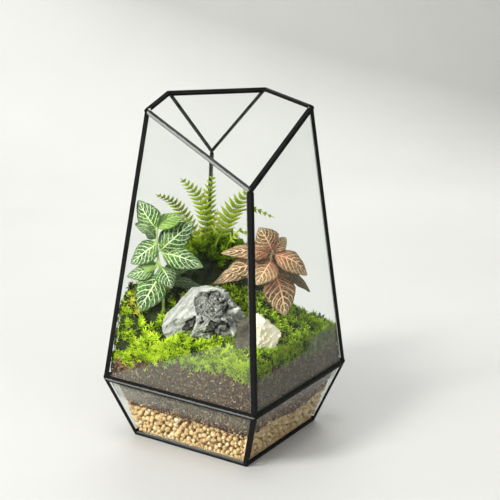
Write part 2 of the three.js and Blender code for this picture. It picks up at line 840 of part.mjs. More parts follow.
// A fern frond: a tapering rib with paired leaflets, longest a third of the way up.
const LEAFLET_SPACING = 4.4;
const LEAFLET_HALF = 1.5;
const LEAFLET_THICK = 0.8;
const LEAFLET_SIDES = [
  [0, 1, 2],
  [0, 2, 3],
  [0, 3, 1],
  [4, 2, 1],
  [4, 3, 2],
  [4, 1, 3],
];
const BARE_STALK = 0.2; // share of the rib that carries no leaflets
const CLEAR_OF_MOSS = 5;
const RIB_RADIUS = 0.8;
function frond({ rib, longest, spread }) {
  const path = new THREE.CatmullRomCurve3(rib.map((point) => V(...point)));
  let shape = tube(path, [RIB_RADIUS, 0.35], 4, 10);
  const length = path.getLength();
  const pairs = Math.floor((length * (1 - BARE_STALK)) / LEAFLET_SPACING);
  const flat = V(...spread).normalize();
  for (let k = 0; k < pairs; k++) {
    const share = k / pairs;
    const u = BARE_STALK + (1 - BARE_STALK) * share;
    const reach = longest * (0.25 + 1.05 * Math.sin(Math.PI * (0.22 + 0.78 * share)) ** 0.9) * 0.8;
    const root = path.getPointAt(u);
    if (root.z < mossHeight(root.x, root.y) + CLEAR_OF_MOSS) continue;
    const along = path.getTangentAt(u);
    const side = flat.clone().addScaledVector(along, -flat.dot(along)).normalize();
    const face = V().crossVectors(side, along);
    for (const hand of [-1, 1]) {
      const way = side.clone().multiplyScalar(hand * 0.9).addScaledVector(along, 0.45);
      const tip = root.clone().addScaledVector(way, reach).addScaledVector(face, -0.08 * reach);
      const belly = root.clone().lerp(tip, 0.4);
      const outline = [
        root.clone().addScaledVector(way, -0.3),
        belly.clone().addScaledVector(along, LEAFLET_HALF),
        belly.clone().addScaledVector(along, -LEAFLET_HALF),
        belly.clone().addScaledVector(face, LEAFLET_THICK),
        tip,
      ];
      shape = shape.add(solid(outline, LEAFLET_SIDES));
    }
  }
  return largestBody(shape);
}

const FRONDS = {
  far_left: {
    rib: [[-15.5, 37, 132], [-15.5, 36, 148], [-28, 30, 171], [-41, 21, 187], [-56, 11, 196]],
    longest: 6.5,
    spread: [0.6, -0.5, 0.75],
  },
  left: {
    rib: [[-10.5, 42, 132], [-10.5, 42, 148], [-11.5, 40, 169], [-17, 37, 186], [-33.5, 28, 204.5]],
    longest: 7.8,
    spread: [1, -0.1, 0.15],
  },
  middle: {
    rib: [[-6, 47, 132], [-6.5, 46, 148], [-8, 45, 169], [-7.5, 43, 188], [-5, 38, 205]],
    longest: 7.5,
    spread: [1, -0.2, 0],
  },
  right: {
    rib: [[-4, 34, 132], [-3.5, 33, 146], [1.5, 29, 161], [9, 24, 179], [20, 18, 195.5]],
    longest: 11,
    spread: [0.95, 0.1, -0.35],
  },
  far_right: {
    rib: [[3.5, 46, 132], [4, 45, 148], [12, 41, 166], [24, 35, 176], [43, 25, 170]],
    longest: 5.5,
    spread: [0.35, -0.75, 0.6],
  },
  low_right: {
    rib: [[5, 32, 131], [5.5, 30, 146], [9, 25, 155], [14, 20, 161.5], [21, 15, 159]],
    longest: 5.5,
    spread: [0.4, -0.7, 0.6],
  },
  back: {
    rib: [[-1, 52, 132], [-1, 52, 148], [0, 55, 160], [3, 58, 171]],
    longest: 6.5,
    spread: [1, 0.1, 0],
  },
};
for (const [name, shape] of Object.entries(FRONDS)) {
  addNode("fern_frond_" + name, frond(shape), "fern");
}

const SOIL_STEP = 16;

// Soil and moss leave a plain hole round each stem, and a bed under each rock.
const HOLE_GAP = 0.5;
function hole(stem, radius) {
  const foot = V(...stem[0]).sub(V(...stem[1])).setLength(HOLE_GAP).add(V(...stem[0]));
  const path = new THREE.CatmullRomCurve3([foot, ...stem.map((point) => V(...point))]);
  return tube(path, [radius + HOLE_GAP, radius + HOLE_GAP], 6, 12);
}
let taken = grow(greyRock, GREY_CENTRE, 0.025).add(grow(tanRock, TAN_CENTRE, 0.035));
for (const stem of [WHITE_STEM, PINK_STEM]) taken = taken.add(hole(stem, STEM_RADIUS));
for (const { rib } of Object.values(FRONDS)) taken = taken.add(hole(rib, RIB_RADIUS));

const soilTop = under(soilHeight, SOIL_STEP);
const soil = inside
  .intersect(soilTop)
  .subtract(gravelTop.translate([0, 0, FILL_GAP]))
  .subtract(taken);
addNode("soil", largestBody(soil), "soil");

// Moss sprigs stand up at every other grid point, taller and wider than life.
const SPRIG_STEP = 5.8;
const sprigRandom = randomFrom(23);
const sprigDraws = Array.from({ length: 3 * 70 * 70 }, () => sprigRandom());
const draw = (i, j, k) => sprigDraws[3 * (70 * j + i) + k];
const mossTop = under(
  (x, y, i, j) => mossHeight(x, y) + ((i + j) % 2 ? 0.5 + 2.4 * draw(i, j, 2) : -1.6),
  SPRIG_STEP,
  (i, j, k) => 1.6 * (draw(i, j, k) - 0.5),
);
const moss = inside
  .intersect(mossTop)
  .subtract(soilTop.translate([0, 0, FILL_GAP]))
  .subtract(taken);

// The darker moss of the mound meets the front carpet along a line behind the rocks.
const MOUND_EDGE_Y = 6;
const behindBox = new THREE.BoxGeometry(300, 200, 400).translate(0, MOUND_EDGE_Y + 100, 0);
const behind = solidFromGeometry(behindBox);
addNode("moss_mound", largestBody(moss.intersect(behind)), "mossDark");
addNode("moss_carpet", largestBody(moss.subtract(behind.translate([0, -FILL_GAP, 0]))), "moss");

export default terrarium;
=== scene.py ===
# The looks of the planted glass terrarium: finer pebbles, soil, moss, rocks and plants set in
# the places of the solids they stand for, materials for all of it, light and camera.
# Lengths in the formulas are millimetres, in the same frame as the part; meshes are in metres.
import itertools

import bmesh
import bpy
import numpy as np
from mathutils import Matrix, Vector


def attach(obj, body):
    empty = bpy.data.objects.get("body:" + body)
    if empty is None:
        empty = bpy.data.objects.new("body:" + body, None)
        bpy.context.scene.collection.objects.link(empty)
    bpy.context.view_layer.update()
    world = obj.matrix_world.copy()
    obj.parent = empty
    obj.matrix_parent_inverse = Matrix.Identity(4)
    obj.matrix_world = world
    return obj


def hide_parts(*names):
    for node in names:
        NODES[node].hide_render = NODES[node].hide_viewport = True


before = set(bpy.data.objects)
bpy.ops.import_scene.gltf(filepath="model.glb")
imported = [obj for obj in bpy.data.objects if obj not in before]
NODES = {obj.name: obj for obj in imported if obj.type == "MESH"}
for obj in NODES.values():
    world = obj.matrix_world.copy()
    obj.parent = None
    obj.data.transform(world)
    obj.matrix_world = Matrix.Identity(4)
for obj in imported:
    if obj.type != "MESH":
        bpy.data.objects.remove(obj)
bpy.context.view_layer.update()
MM = 0.001
rng = np.random.default_rng(20)

# ------------------------------------------------------------------ the part's measures

WAIST_HEIGHT = 50.7
BASE_REACH = 75.2
WAIST_REACH = 100
UPPER_LEAN = 0.161
LOWER_FLARE = (WAIST_REACH - BASE_REACH) / WAIST_HEIGHT
SIDE_TOP_HEIGHT = 265
FRONT_TOP_HEIGHT = 216.7
RIDGE_HEIGHT = 275.5
RIDGE_LEFT_X = -45.8
RIDGE_RIGHT_X = 34.6
GLASS_INNER = 2.55
FILL_GAP = 0.3
FILL_DEPTH = GLASS_INNER + FILL_GAP
PRESSED_DEPTH = GLASS_INNER + 0.1
SIDE_HOLLOW = 4.3
GRAVEL_TOP = 31
MOSS_THICKNESS = 7
FRONT_MOSS_HEIGHT = 85
BANK_RISE = 31
MOUND_EDGE_Y = 6

# The camera's axes; the grey rock is carved as seen along the last one.
RIGHT = (0.97435, -0.22429, 0.01827)
UP = (0.04355, 0.26758, 0.96255)
BACK = (-0.22078, -0.93707, 0.27049)


def smooth(t):
    t = np.clip(t, 0, 1)
    return t * t * (3 - 2 * t)


def upper_reach(z):
    return WAIST_REACH - UPPER_LEAN * (z - WAIST_HEIGHT)


def fill_reach(z, depth):
    above = upper_reach(z) - depth * np.sqrt(2 + UPPER_LEAN**2)
    below = BASE_REACH + LOWER_FLARE * z - depth * np.sqrt(2 + LOWER_FLARE**2)
    return np.minimum(above, below)


def side_reach(z):
    hollow = SIDE_HOLLOW * smooth(z / 36) * smooth((WAIST_HEIGHT + 9 - z) / 12)
    return fill_reach(z, FILL_DEPTH) - 0.5 - hollow


def ground_height(x, y):
    dips = 7 * smooth((-x - 50) / 30) + 9 * smooth((x - 48) / 26)
    rise = BANK_RISE - 20 * smooth((x - 15) / 45) + 10 * smooth((-x - 50) / 25)
    across = y + 24 - 4.7 * np.abs(x / 50) ** 4 * np.where(x < 0, 1, 0.35)
    bank = rise * smooth((across + 25) / 50)
    mound = 32 * np.exp(-(np.abs((x + 1) / 36) ** 4)) * smooth((y - 4) / 30)
    lumps = 1.3 * np.sin(x / 9 + 1.3) * np.cos(y / 8) + 0.9 * np.sin(x / 4.1 + y / 5.3)
    return FRONT_MOSS_HEIGHT - dips + bank + mound + lumps


def moss_height(x, y):
    return ground_height(x, y) + 36 * smooth((-x - 67) / 16)


def rock_foot_rise(x, y):
    """How much higher the moss stands right in front of the two rocks."""
    grey = smooth(2.1 - 1.4 * np.hypot((x + 30) / 32, (y + 47) / 13))
    grey = grey * np.clip(-0.1 - x / 27, 0, 1.8)
    tan = smooth(2.1 - 1.4 * np.hypot((x - 12) / 18, (y + 67) / 9)) * 0.8
    return 4.5 * np.maximum(grey, tan)


def soil_height(x, y):
    return ground_height(x, y) - MOSS_THICKNESS - 1.2 * np.sin(x / 6) * np.sin(y / 7)


def gravel_height(x, y):
    return GRAVEL_TOP + 1.8 * np.sin(x / 11 + 0.6) + 1.6 * np.cos(y / 9)


def keep_inside(points):
    """Presses points that pass the inner face of the glass back against it."""
    reach = fill_reach(points[:, 2], PRESSED_DEPTH)
    spread = np.abs(points[:, 0]) + np.abs(points[:, 1])
    factor = np.minimum(1, reach / np.maximum(spread, 1e-6))
    points[:, :2] *= factor[:, None]
    return points


# ------------------------------------------------------------------ numbers and meshes


HASH_FACTORS = (73856093, 19349663, 83492791)


def noise(points, scale, seed=0):
    """Smooth noise between -1 and 1."""
    p = np.asarray(points, float) / scale
    cell = np.floor(p).astype(np.int64)
    part = p - cell
    part = part * part * (3 - 2 * part)
    total = np.zeros(len(p))
    for corner in itertools.product((0, 1), repeat=3):
        mixed = np.bitwise_xor.reduce((cell + corner) * HASH_FACTORS, axis=1)
        mixed ^= seed * 2654435 + 77
        mixed = ((mixed ^ (mixed >> 13)) * 1274126177) & 0xFFFFFFFF
        value = ((mixed ^ (mixed >> 16)) & 0xFFFF) / 32767.5 - 1
        total += value * np.prod(np.where(np.array(corner, bool), part, 1 - part), axis=1)
    return total


def rough_noise(points, scale, octaves, seed=0):
    return sum(0.5**k * noise(points, scale * 0.5**k, seed + 31 * k) for k in range(octaves))


def unit(vectors):
    vectors = np.asarray(vectors, float)
    return vectors / np.linalg.norm(vectors, axis=-1, keepdims=True)


class Heap:
    """Collects closed bodies for one piece, with three numbers for each point that colour it."""

    def __init__(self):
        self.points, self.faces, self.count = [], [], 0
        self.marks = {"tone": [], "rise": [], "kind": []}

    def mark(self, count, **values):
        for key, value in values.items():
            self.marks[key].append(np.broadcast_to(value, count))
        self.count += count

    def add(self, points, faces, tone=0.5, rise=0.5, kind=0.5):
        points = np.asarray(points, float).reshape(-1, 3)
        self.points.append(points)
        self.faces += [tuple(int(i) + self.count for i in face) for face in faces]
        self.mark(len(points), tone=tone, rise=rise, kind=kind)

    def add_copies(self, templates, pick, turns, sizes, places, tone, painted_shade_and_tone=None):
        """Copies of the template that pick names for each: turned, sized, put in place. A
        template is points, faces and perhaps each point's rise, which painted_shade_and_tone
        lowers."""
        for k, (points, faces, *rises) in enumerate(templates):
            mine = pick == k
            moved = np.einsum("nij,nkj->nki", turns[mine], points[None] * sizes[mine][:, None])
            moved = moved + places[mine][:, None]
            copies, length = moved.shape[:2]
            shifts = (np.arange(copies) * length)[:, None, None] + self.count
            corners = (np.asarray(faces)[None] + shifts).reshape(-1, len(faces[0]))
            self.faces += map(tuple, corners.tolist())
            self.points.append(moved.reshape(-1, 3))
            rise = 0.5
            if rises:
                rise = np.clip(np.tile(rises[0], copies) - np.repeat(painted_shade_and_tone[mine], length), 0, 1)
            self.mark(copies * length, tone=np.repeat(tone[mine], length), rise=rise, kind=0.5)

    def piece(self, name, material, slot, replaced=(), pressed=False, smooth_faces=True):
        points = np.concatenate(self.points)
        if pressed:
            points = keep_inside(points)
        mesh = bpy.data.meshes.new(name)
        mesh.from_pydata((points * MM).tolist(), [], self.faces)
        for key, values in self.marks.items():
            layer = mesh.attributes.new(key, "FLOAT", "POINT")
            layer.data.foreach_set("value", np.concatenate(values).astype(np.float32))
        if smooth_faces:
            mesh.shade_smooth()
        made = stand(name, mesh, material)
        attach(made, "root")
        if replaced:
            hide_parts(*replaced)
        return made


def stand(name, data, material=None):
    """An object in the scene."""
    if material:
        data.materials.append(material)
    made = bpy.data.objects.new(name, data)
    bpy.context.scene.collection.objects.link(made)
    return made


def ring_stack(rings):
    """One closed body through rings of as many points each."""
    rings = np.asarray(rings, float)
    m, n = rings.shape[:2]
    faces = []
    for i in range(n):
        j = (i + 1) % n
        faces += [(k + i, k + j, k + n + j, k + n + i) for k in range(0, (m - 1) * n, n)]
        faces += [(j, i, m * n), ((m - 1) * n + i, (m - 1) * n + j, m * n + 1)]
    ends = np.array([rings[0].mean(0), rings[-1].mean(0)])
    return np.concatenate([rings.reshape(-1, 3), ends]), faces


def sheet(top, bottom):
    """A closed body between two grids of points."""
    row = top.shape[1]
    total = top.shape[0] * row
    faces = []
    for a in range(total - row):
        if (a + 1) % row:
            faces.append((a, a + 1, a + row + 1, a + row))
            faces.append((total + a + row, total + a + row + 1, total + a + 1, total + a))
    rim = [*range(row - 1), *range(row - 1, total - 1, row)]
    rim += [*range(total - 1, total - row, -1), *range(total - row, 0, -row)]
    faces += [(q, p, total + p, total + q) for p, q in zip(rim, rim[1:] + rim[:1])]
    return np.concatenate([top.reshape(-1, 3), bottom.reshape(-1, 3)]), faces


def ball(subdivisions, squash=0.0, seed=0, lump=1.2):
    """A unit ball of triangles, dented by noise."""
    made = bmesh.new()
    bmesh.ops.create_icosphere(made, subdivisions=subdivisions, radius=1)
    points = np.array([v.co[:] for v in made.verts])
    faces = [tuple(v.index for v in f.verts) for f in made.faces]
    made.free()
    return points * (1 + squash * noise(points + 50 + 9 * seed, lump, seed))[:, None], faces


def random_turns(count):
    """Rotation matrices in drawn directions."""
    w, *axis = unit(rng.normal(size=(count, 4))).T
    turn = np.cross(np.stack(axis, 1)[:, None], np.eye(3)).transpose(0, 2, 1)
    return np.eye(3) + 2 * w[:, None, None] * turn + 2 * turn @ turn


def turns_towards(directions, spin):
    """Rotation matrices that take +Z to each direction, after a spin about it."""
    z = unit(directions)
    helper = np.where(np.abs(z[:, 2:3]) < 0.9, [[0, 0, 1.0]], [[1.0, 0, 0]])
    x = unit(np.cross(helper, z))
    y = np.cross(z, x)
    c, s = np.cos(spin)[:, None], np.sin(spin)[:, None]
    return np.stack([x * c + y * s, y * c - x * s, z], axis=2)


# ------------------------------------------------------------------ materials


class Nodes:
    """A short way to write a material's nodes."""

    def __init__(self, name):
        self.material = bpy.data.materials.new(name)
        self.material.use_nodes = True
        self.tree = self.material.node_tree
        self.shader = next(n for n in self.tree.nodes if n.type == "BSDF_PRINCIPLED")
        self.output = next(n for n in self.tree.nodes if n.type == "OUTPUT_MATERIAL")

    def put(self, socket, value):
        if isinstance(value, bpy.types.NodeSocket):
            self.tree.links.new(value, socket)
        else:
            socket.default_value = value

    def node(self, kind, inputs, output=0, **settings):
        """A new node's output."""
        made = self.tree.nodes.new(kind)
        for key, value in settings.items():
            setattr(made, key, value)
        for key, value in inputs.items():
            self.put(made.inputs[key], value)
        return made.outputs[output]

    def place(self):
        return self.node("ShaderNodeTexCoord", {}, "Object")

    def value(self, name):
        return self.node("ShaderNodeAttribute", {}, "Fac", attribute_name=name)

    def noise(self, scale, detail=3, roughness=0.55, vector=None, stretch=None, turn=0.0):
        vector = vector or self.place()
        if stretch:
            inputs = {"Vector": vector, "Rotation": (0, turn, 0), "Scale": stretch}
            vector = self.node("ShaderNodeMapping", inputs, vector_type="TEXTURE")
        inputs = {"Vector": vector, "Scale": scale, "Detail": detail, "Roughness": roughness}
        return self.node("ShaderNodeTexNoise", inputs, "Fac")

    def math(self, operation, a, b=0.0, clamp=False):
        return self.node("ShaderNodeMath", {0: a, 1: b}, operation=operation, use_clamp=clamp)

    def range(self, value, low, high, to_low=0.0, to_high=1.0):
        limits = {"From Min": low, "From Max": high, "To Min": to_low, "To Max": to_high}
        return self.node("ShaderNodeMapRange", {"Value": value, **limits})

    def ramp(self, value, *stops):
        made = self.tree.nodes.new("ShaderNodeValToRGB")
        self.put(made.inputs["Fac"], value)
        elements = made.color_ramp.elements
        while len(elements) < len(stops):
            elements.new(0.5)
        for element, (position, colour) in zip(elements, stops):
            element.position = position
            element.color = (*colour, 1)
        return made.outputs["Color"]

    def mix(self, factor, a, b):
        a, b = ((*value, 1) if isinstance(value, tuple) else value for value in (a, b))
        return self.node("ShaderNodeMix", {0: factor, 6: a, 7: b}, 2, data_type="RGBA")

    def cover(self, body, mask, low, high, share, colour):
        """Lays a share of a colour over the body where the mask runs from low to high."""
        return self.mix(self.range(mask, low, high, 0, share), body, colour)

    def finish(self, bump=None, **values):
        """Sets the shader and returns the material; bump: its height, strength and distance."""
        if bump:
            inputs = dict(zip(("Height", "Strength", "Distance"), bump))
            values["Normal"] = self.node("ShaderNodeBump", inputs)
        for key, value in values.items():
            self.put(self.shader.inputs[key.replace("_", " ")], value)
        return self.material

    def mix_shaders(self, factor, first, second):
        mixed = self.node("ShaderNodeMixShader", {0: factor, 1: first, 2: second})
        self.put(self.output.inputs["Surface"], mixed)


def metal_material(name, gloss, shade):
    m = Nodes(name)
    patches = m.noise(90, 4)
    dark, light = ((v, v * 1.06, v) for v in (0.7 * shade, 1.3 * shade))
    return m.finish(
        Base_Color=m.ramp(patches, (0.3, dark), (0.7, light)),
        Roughness=m.range(patches, 0.3, 0.7, 0.24, 0.38),
        Specular_IOR_Level=gloss,
        bump=(m.noise(900, 2), 0.08, 0.0003),
    )


def painted_highlight_metal_material(name, node, gloss, across, *stops):
    """Black metal with painted highlights: lighter bands at stops, in shares of
    PAINTED_HIGHLIGHT_SPAN from its far side, that paint glints and reflections on edges and lit
    flanges.
    """
    m = Nodes(name)
    top = max(Vector(across) @ vertex.co for vertex in node.data.vertices)
    inputs = {0: m.place(), 1: across}
    height = m.node("ShaderNodeVectorMath", inputs, "Value", operation="DOT_PRODUCT")
    ragged = m.range(m.noise(400, 3), 0.3, 0.7, -0.0003, 0.0003)
    depth = m.math("ADD", m.math("SUBTRACT", top, height), ragged)
    stops = ((at, (0.97 * shade, shade, 0.97 * shade)) for at, shade in stops)
    colour = m.ramp(m.range(depth, 0, PAINTED_HIGHLIGHT_SPAN), *stops)
    return m.finish(Base_Color=colour, Roughness=0.4, Specular_IOR_Level=gloss)


def glass_material():
    m = Nodes("clear_glass")
    clear = m.node("ShaderNodeBsdfTransparent", {"Color": (0.96, 0.975, 0.965, 1)})
    shadow = m.node("ShaderNodeLightPath", {}, "Is Shadow Ray")
    m.mix_shaders(shadow, m.shader.outputs[0], clear)
    tint = (0.94, 0.955, 0.94, 1)
    return m.finish(Base_Color=tint, IOR=1.12, Transmission_Weight=1.0, Roughness=0.0)


def painted_reflection_material():
    """Painted reflections on the inside of the glass; tone is how dense they are, rise how light.
    """
    m = Nodes("painted_reflection_on_glass")
    patches = m.range(m.noise(45, 3), 0.3, 0.7, 0.82, 1.1)
    dense = m.math("MULTIPLY", m.value("tone"), patches, clamp=True)
    m.mix_shaders(dense, m.node("ShaderNodeBsdfTransparent", {}), m.shader.outputs[0])
    shades = (0, (0.05, 0.062, 0.045)), (0.5, (0.2, 0.19, 0.155)), (1, (0.4, 0.41, 0.37))
    colour = m.ramp(m.value("rise"), *shades)
    return m.finish(Base_Color=colour, Roughness=0.7, Specular_IOR_Level=0.1)


def pebble_material():
    m = Nodes("pebbles")
    base = m.ramp(
        m.value("tone"),
        (0.0, (0.17, 0.095, 0.04)),
        (0.14, (0.39, 0.23, 0.095)),
        (0.45, (0.65, 0.45, 0.21)),
        (0.8, (0.78, 0.58, 0.3)),
        (1.0, (0.86, 0.74, 0.5)),
    )
    specks = m.range(m.noise(900, 3), 0.35, 0.7)
    return m.finish(
        Base_Color=m.mix(m.math("MULTIPLY", specks, 0.35), base, (0.5, 0.33, 0.17)),
        Roughness=m.range(specks, 0, 1, 0.5, 0.75),
        bump=(m.noise(1500, 2), 0.25, 0.0003),
    )


def soil_material():
    m = Nodes("soil")
    grains = m.noise(700, 5, 0.65)
    colour = m.ramp(
        m.math("ADD", m.value("tone"), m.range(grains, 0.3, 0.7, -0.16, 0.16)),
        (0.1, (0.02, 0.012, 0.007)),
        (0.38, (0.085, 0.045, 0.024)),
        (0.62, (0.2, 0.105, 0.05)),
        (0.82, (0.42, 0.24, 0.12)),
        (0.97, (0.62, 0.45, 0.28)),
    )
    return m.finish(Base_Color=colour, Roughness=0.95, bump=(grains, 0.7, 0.0008))


def fibre_material():
    m = Nodes("coir_fibres")
    shades = (0, (0.2, 0.08, 0.02)), (0.5, (0.5, 0.23, 0.07)), (1, (0.72, 0.45, 0.2))
    colour = m.ramp(m.value("tone"), *shades)
    colour = m.cover(colour, m.noise(800), 0.3, 0.7, 0.4, (0.25, 0.12, 0.04))
    return m.finish(Base_Color=colour, Roughness=0.8)


# Colour by rise: darker towards each sprig's foot and lighter at its tips; place_sprigs lowers
# rise with painted shade.
def moss_material(name, deep, middle, bright, gold):
    m = Nodes(name)
    height = m.math("ADD", m.value("rise"), m.range(m.noise(120, 3), 0.3, 0.7, -0.14, 0.14))
    green = m.ramp(height, (0.14, deep), (0.52, middle), (0.95, bright))
    return m.finish(
        Base_Color=m.cover(green, m.value("tone"), 0.55, 1.0, 0.75, gold),
        Roughness=0.75,
        Specular_IOR_Level=0.08,
        bump=(m.noise(1600, 2), 0.2, 0.0002),
    )


# The bed under the sprigs is near black-green: painted shade for the moss's depths and the thinned
# hollows.
def painted_shade_bed_material():
    m = Nodes("moss_bed_painted_shade")
    clumps = m.noise(260, 4, 0.65)
    shades = (0.3, (0.006, 0.01, 0.002)), (0.55, (0.02, 0.035, 0.004)), (0.8, (0.05, 0.08, 0.01))
    return m.finish(Base_Color=m.ramp(clumps, *shades), Roughness=0.95, bump=(clumps, 0.8, 0.001))


def grey_rock_material():
    """rise: painted shade, low in cracks and pits, and painted highlights, high on ridges; tone:
    the smooth slab; kind: the broken recesses, painted darker as shade.
    """
    m = Nodes("grey_rock")
    rise = m.value("rise")
    fine, grains = m.noise(520, 5, 0.7), m.noise(1600, 2, 0.6)
    large = m.math("MULTIPLY", m.noise(60, 6, 0.62), 0.6)
    chipped = m.math("ADD", large, m.range(rise, 0.4, 0.85, 0, 0.45))
    streaks = m.noise(450, 4, 0.65, stretch=(4, 1, 1), turn=-0.83)
    shades = (0.3, (0.12, 0.122, 0.116)), (0.5, (0.36, 0.362, 0.34)), (0.7, (0.66, 0.66, 0.62))
    slab = (0.34, (0.2, 0.203, 0.195)), (0.48, (0.44, 0.442, 0.42)), (0.62, (0.64, 0.64, 0.61))
    pits = (0.36, (0.03, 0.032, 0.026)), (0.49, (0.17, 0.172, 0.155)), (0.62, (0.52, 0.52, 0.48))
    body = m.mix(m.value("tone"), m.ramp(chipped, *shades), m.ramp(streaks, *slab))
    pitted = m.ramp(m.noise(850, 4, 0.7), *pits)
    body = m.cover(body, m.value("kind"), 0.5, 1, 0.9, pitted)
    body = m.cover(body, fine, 0.56, 0.68, 0.6, (0.06, 0.062, 0.055))
    body = m.cover(body, grains, 0.54, 0.7, 0.5, (0.75, 0.75, 0.7))
    # Painted highlights on the ridges here, and painted shade in cracks and pits below.
    body = m.cover(body, rise, 0.8, 1, 0.75, (0.82, 0.81, 0.74))
    return m.finish(
        Base_Color=m.mix(m.range(rise, 0.08, 0.42), (0.024, 0.022, 0.013), body),
        Roughness=m.range(fine, 0.3, 0.7, 0.75, 0.95),
        bump=(m.math("ADD", fine, m.math("MULTIPLY", grains, 0.4)), 0.75, 0.0012),
    )


def tan_rock_material():
    """rise: low in cracks and pits, painted darker there as shade; kind: the left side, painted
    dark grey-brown as shade.
    """
    m = Nodes("tan_rock")
    large, fine = m.noise(70, 5, 0.6), m.noise(480, 5, 0.65)
    shades = (0.3, (0.88, 0.78, 0.56)), (0.48, (0.96, 0.89, 0.69)), (0.7, (0.99, 0.95, 0.82))
    body = m.cover(m.ramp(large, *shades), fine, 0.55, 0.75, 0.3, (0.6, 0.45, 0.26))
    painted_shade_colour = m.ramp(large, (0.3, (0.07, 0.06, 0.042)), (0.7, (0.13, 0.112, 0.082)))
    body = m.cover(body, m.value("kind"), 0.5, 1, 1, painted_shade_colour)
    colour = m.mix(m.range(m.value("rise"), 0.05, 0.4), (0.3, 0.2, 0.12), body)
    return m.finish(Base_Color=colour, Roughness=0.85, bump=(fine, 0.5, 0.001))


def leaf_material(name, ground, vein, young, shaded, line):
    """ground: colours of the patches; vein: colours from the leaf's base to its tip; line: how
    thick the veins are. In the mesh, rise runs along the leaf and tone across it; kind is above
    a half on young leaves and below it on shaded ones."""
    m = Nodes(name)
    times = lambda a, b: m.math("MULTIPLY", a, b)
    along, across, kind = m.value("rise"), m.value("tone"), m.value("kind")
    side = m.math("ABSOLUTE", m.math("SUBTRACT", times(across, 2.0), 1.0))
    place = m.node("ShaderNodeCombineXYZ", {0: times(along, 11.0), 1: times(across, 9.0)})
    wander = m.math("SUBTRACT", m.noise(1.3, 3, vector=place), 0.5)
    inner, outer = m.range(along, 0, 1, 0.04, 0.012), m.range(along, 0, 1, 0.09, 0.045)
    midrib = m.range(side, inner, outer, 1.0, 0.0)
    swept = m.math("SUBTRACT", along, times(m.math("POWER", side, 1.4), 0.34))
    swept = m.math("ADD", swept, times(wander, 0.075))
    waves = m.math("PINGPONG", times(swept, 7.0), 0.5)
    laterals = m.range(waves, 0.045 * line, 0.095 * line, 1.0, 0.0)
    laterals = times(laterals, m.range(side, 0.8, 0.97, 1.0, 0.15))
    cells = {"Vector": place, "Scale": 0.8}
    edges = m.node("ShaderNodeTexVoronoi", cells, "Distance", feature="DISTANCE_TO_EDGE")
    net = m.range(edges, 0.012 * line, 0.04 * line, 1.0, 0.0)
    net = times(net, m.range(side, 0.86, 0.97, 0.6, 0.0))
    veins = m.math("MAXIMUM", m.math("MAXIMUM", midrib, laterals), net)
    patches = m.noise(120, 3)
    base = m.ramp(patches, *((0.3 + 0.4 * k / (len(ground) - 1), c) for k, c in enumerate(ground)))
    lines = m.ramp(along, *((k / (len(vein) - 1), c) for k, c in enumerate(vein)))
    base = m.cover(base, kind, 0.5, 1, 1, young)
    blade = m.mix(times(veins, m.range(kind, 0.5, 1, 1, 0.5)), base, lines)
    return m.finish(
        Base_Color=m.mix(m.range(kind, 0, 0.5, 0.85, 0), blade, shaded),
        Roughness=m.range(patches, 0.3, 0.7, 0.4, 0.55),
        Specular_IOR_Level=0.28,
        bump=(times(veins, -1.0), 0.35, 0.0006),
    )


def fern_material():
    """rise runs along a leaflet and tone is drawn for each."""
    m = Nodes("fern_leaf")
    patches, along = m.noise(90, 3), m.value("rise")
    shade = m.math("ADD", m.math("MULTIPLY", patches, 0.6), m.math("MULTIPLY", along, 0.5))
    shades = (0.25, (0.1, 0.2, 0.008)), (0.5, (0.29, 0.42, 0.022)), (0.85, (0.6, 0.68, 0.11))
    return m.finish(
        Base_Color=m.cover(m.ramp(shade, *shades), m.value("tone"), 0, 1, 0.5, (0.46, 0.52, 0.06)),
        Roughness=0.55,
        Specular_IOR_Level=0.3,
        bump=(m.noise(700, 2), 0.2, 0.0003),
    )


def stem_material(name, low, high):
    m = Nodes(name)
    colour = m.ramp(m.noise(200, 3), (0.3, low), (0.7, high))
    return m.finish(Base_Color=colour, Roughness=0.45, bump=(m.noise(600, 2), 0.15, 0.0003))


METAL = metal_material("black_painted_metal", gloss=0.01, shade=0.012)
# The gable and back bars take a lighter copy of the black metal: painted reflection, the pale veil
# the panes lay over the bars seen through them.
BACK_METAL_PAINTED_REFLECTION = metal_material("back_metal_painted_reflection", gloss=0.3, shade=0.05)
GLASS = glass_material()

# ------------------------------------------------------------------ case

BEVEL = 0.22 * MM
PAINTED_HIGHLIGHT_SPAN = 5 * MM
# Bars with painted highlights: lighter bands that paint glints and reflections on their edges
# and lit flanges. For each: the gloss, the direction across the bands, and each stop's place
# and shade.
BARS_WITH_PAINTED_HIGHLIGHTS = {
    "rim_bar_front_left": (
        *(0.2, (0.3855, -0.2422, 0.89)),
        *((0.08, 0.013), (0.2, 0.31), (0.42, 0.27), (0.62, 0.078)),
    ),
    "waist_bar_front_left": (
        *(0.02, (0, 0, 1)),
        *((0.47, 0.012), (0.55, 0.22), (0.74, 0.17), (0.84, 0.02)),
    ),
    "base_bar_front_left": (
        *(0.02, (0, 0, 1)),
        *((0.0, 0.14), (0.2, 0.1), (0.36, 0.03), (0.5, 0.012)),
    ),
    "upper_bar_front": (
        *(0.02, (-0.7026, 0.7026, -0.1131)),
        *((0.04, 0.13), (0.1, 0.1), (0.17, 0.012)),
    ),
}

for name, node in NODES.items():
    if "_bar_" in name:
        look = BACK_METAL_PAINTED_REFLECTION if name.startswith(("gable_", "upper_bar_back")) else METAL
        if name in BARS_WITH_PAINTED_HIGHLIGHTS:
            look = painted_highlight_metal_material("painted_highlight_" + name, node, *BARS_WITH_PAINTED_HIGHLIGHTS[name])
        bevel = node.modifiers.new("rounded_edges", "BEVEL")
        bevel.width = BEVEL
        bevel.segments = 2
        bevel.limit_method = "ANGLE"
    elif name.startswith("pane_"):
        look = GLASS
    else:
        continue
    node.data.materials.clear()
    node.data.materials.append(look)


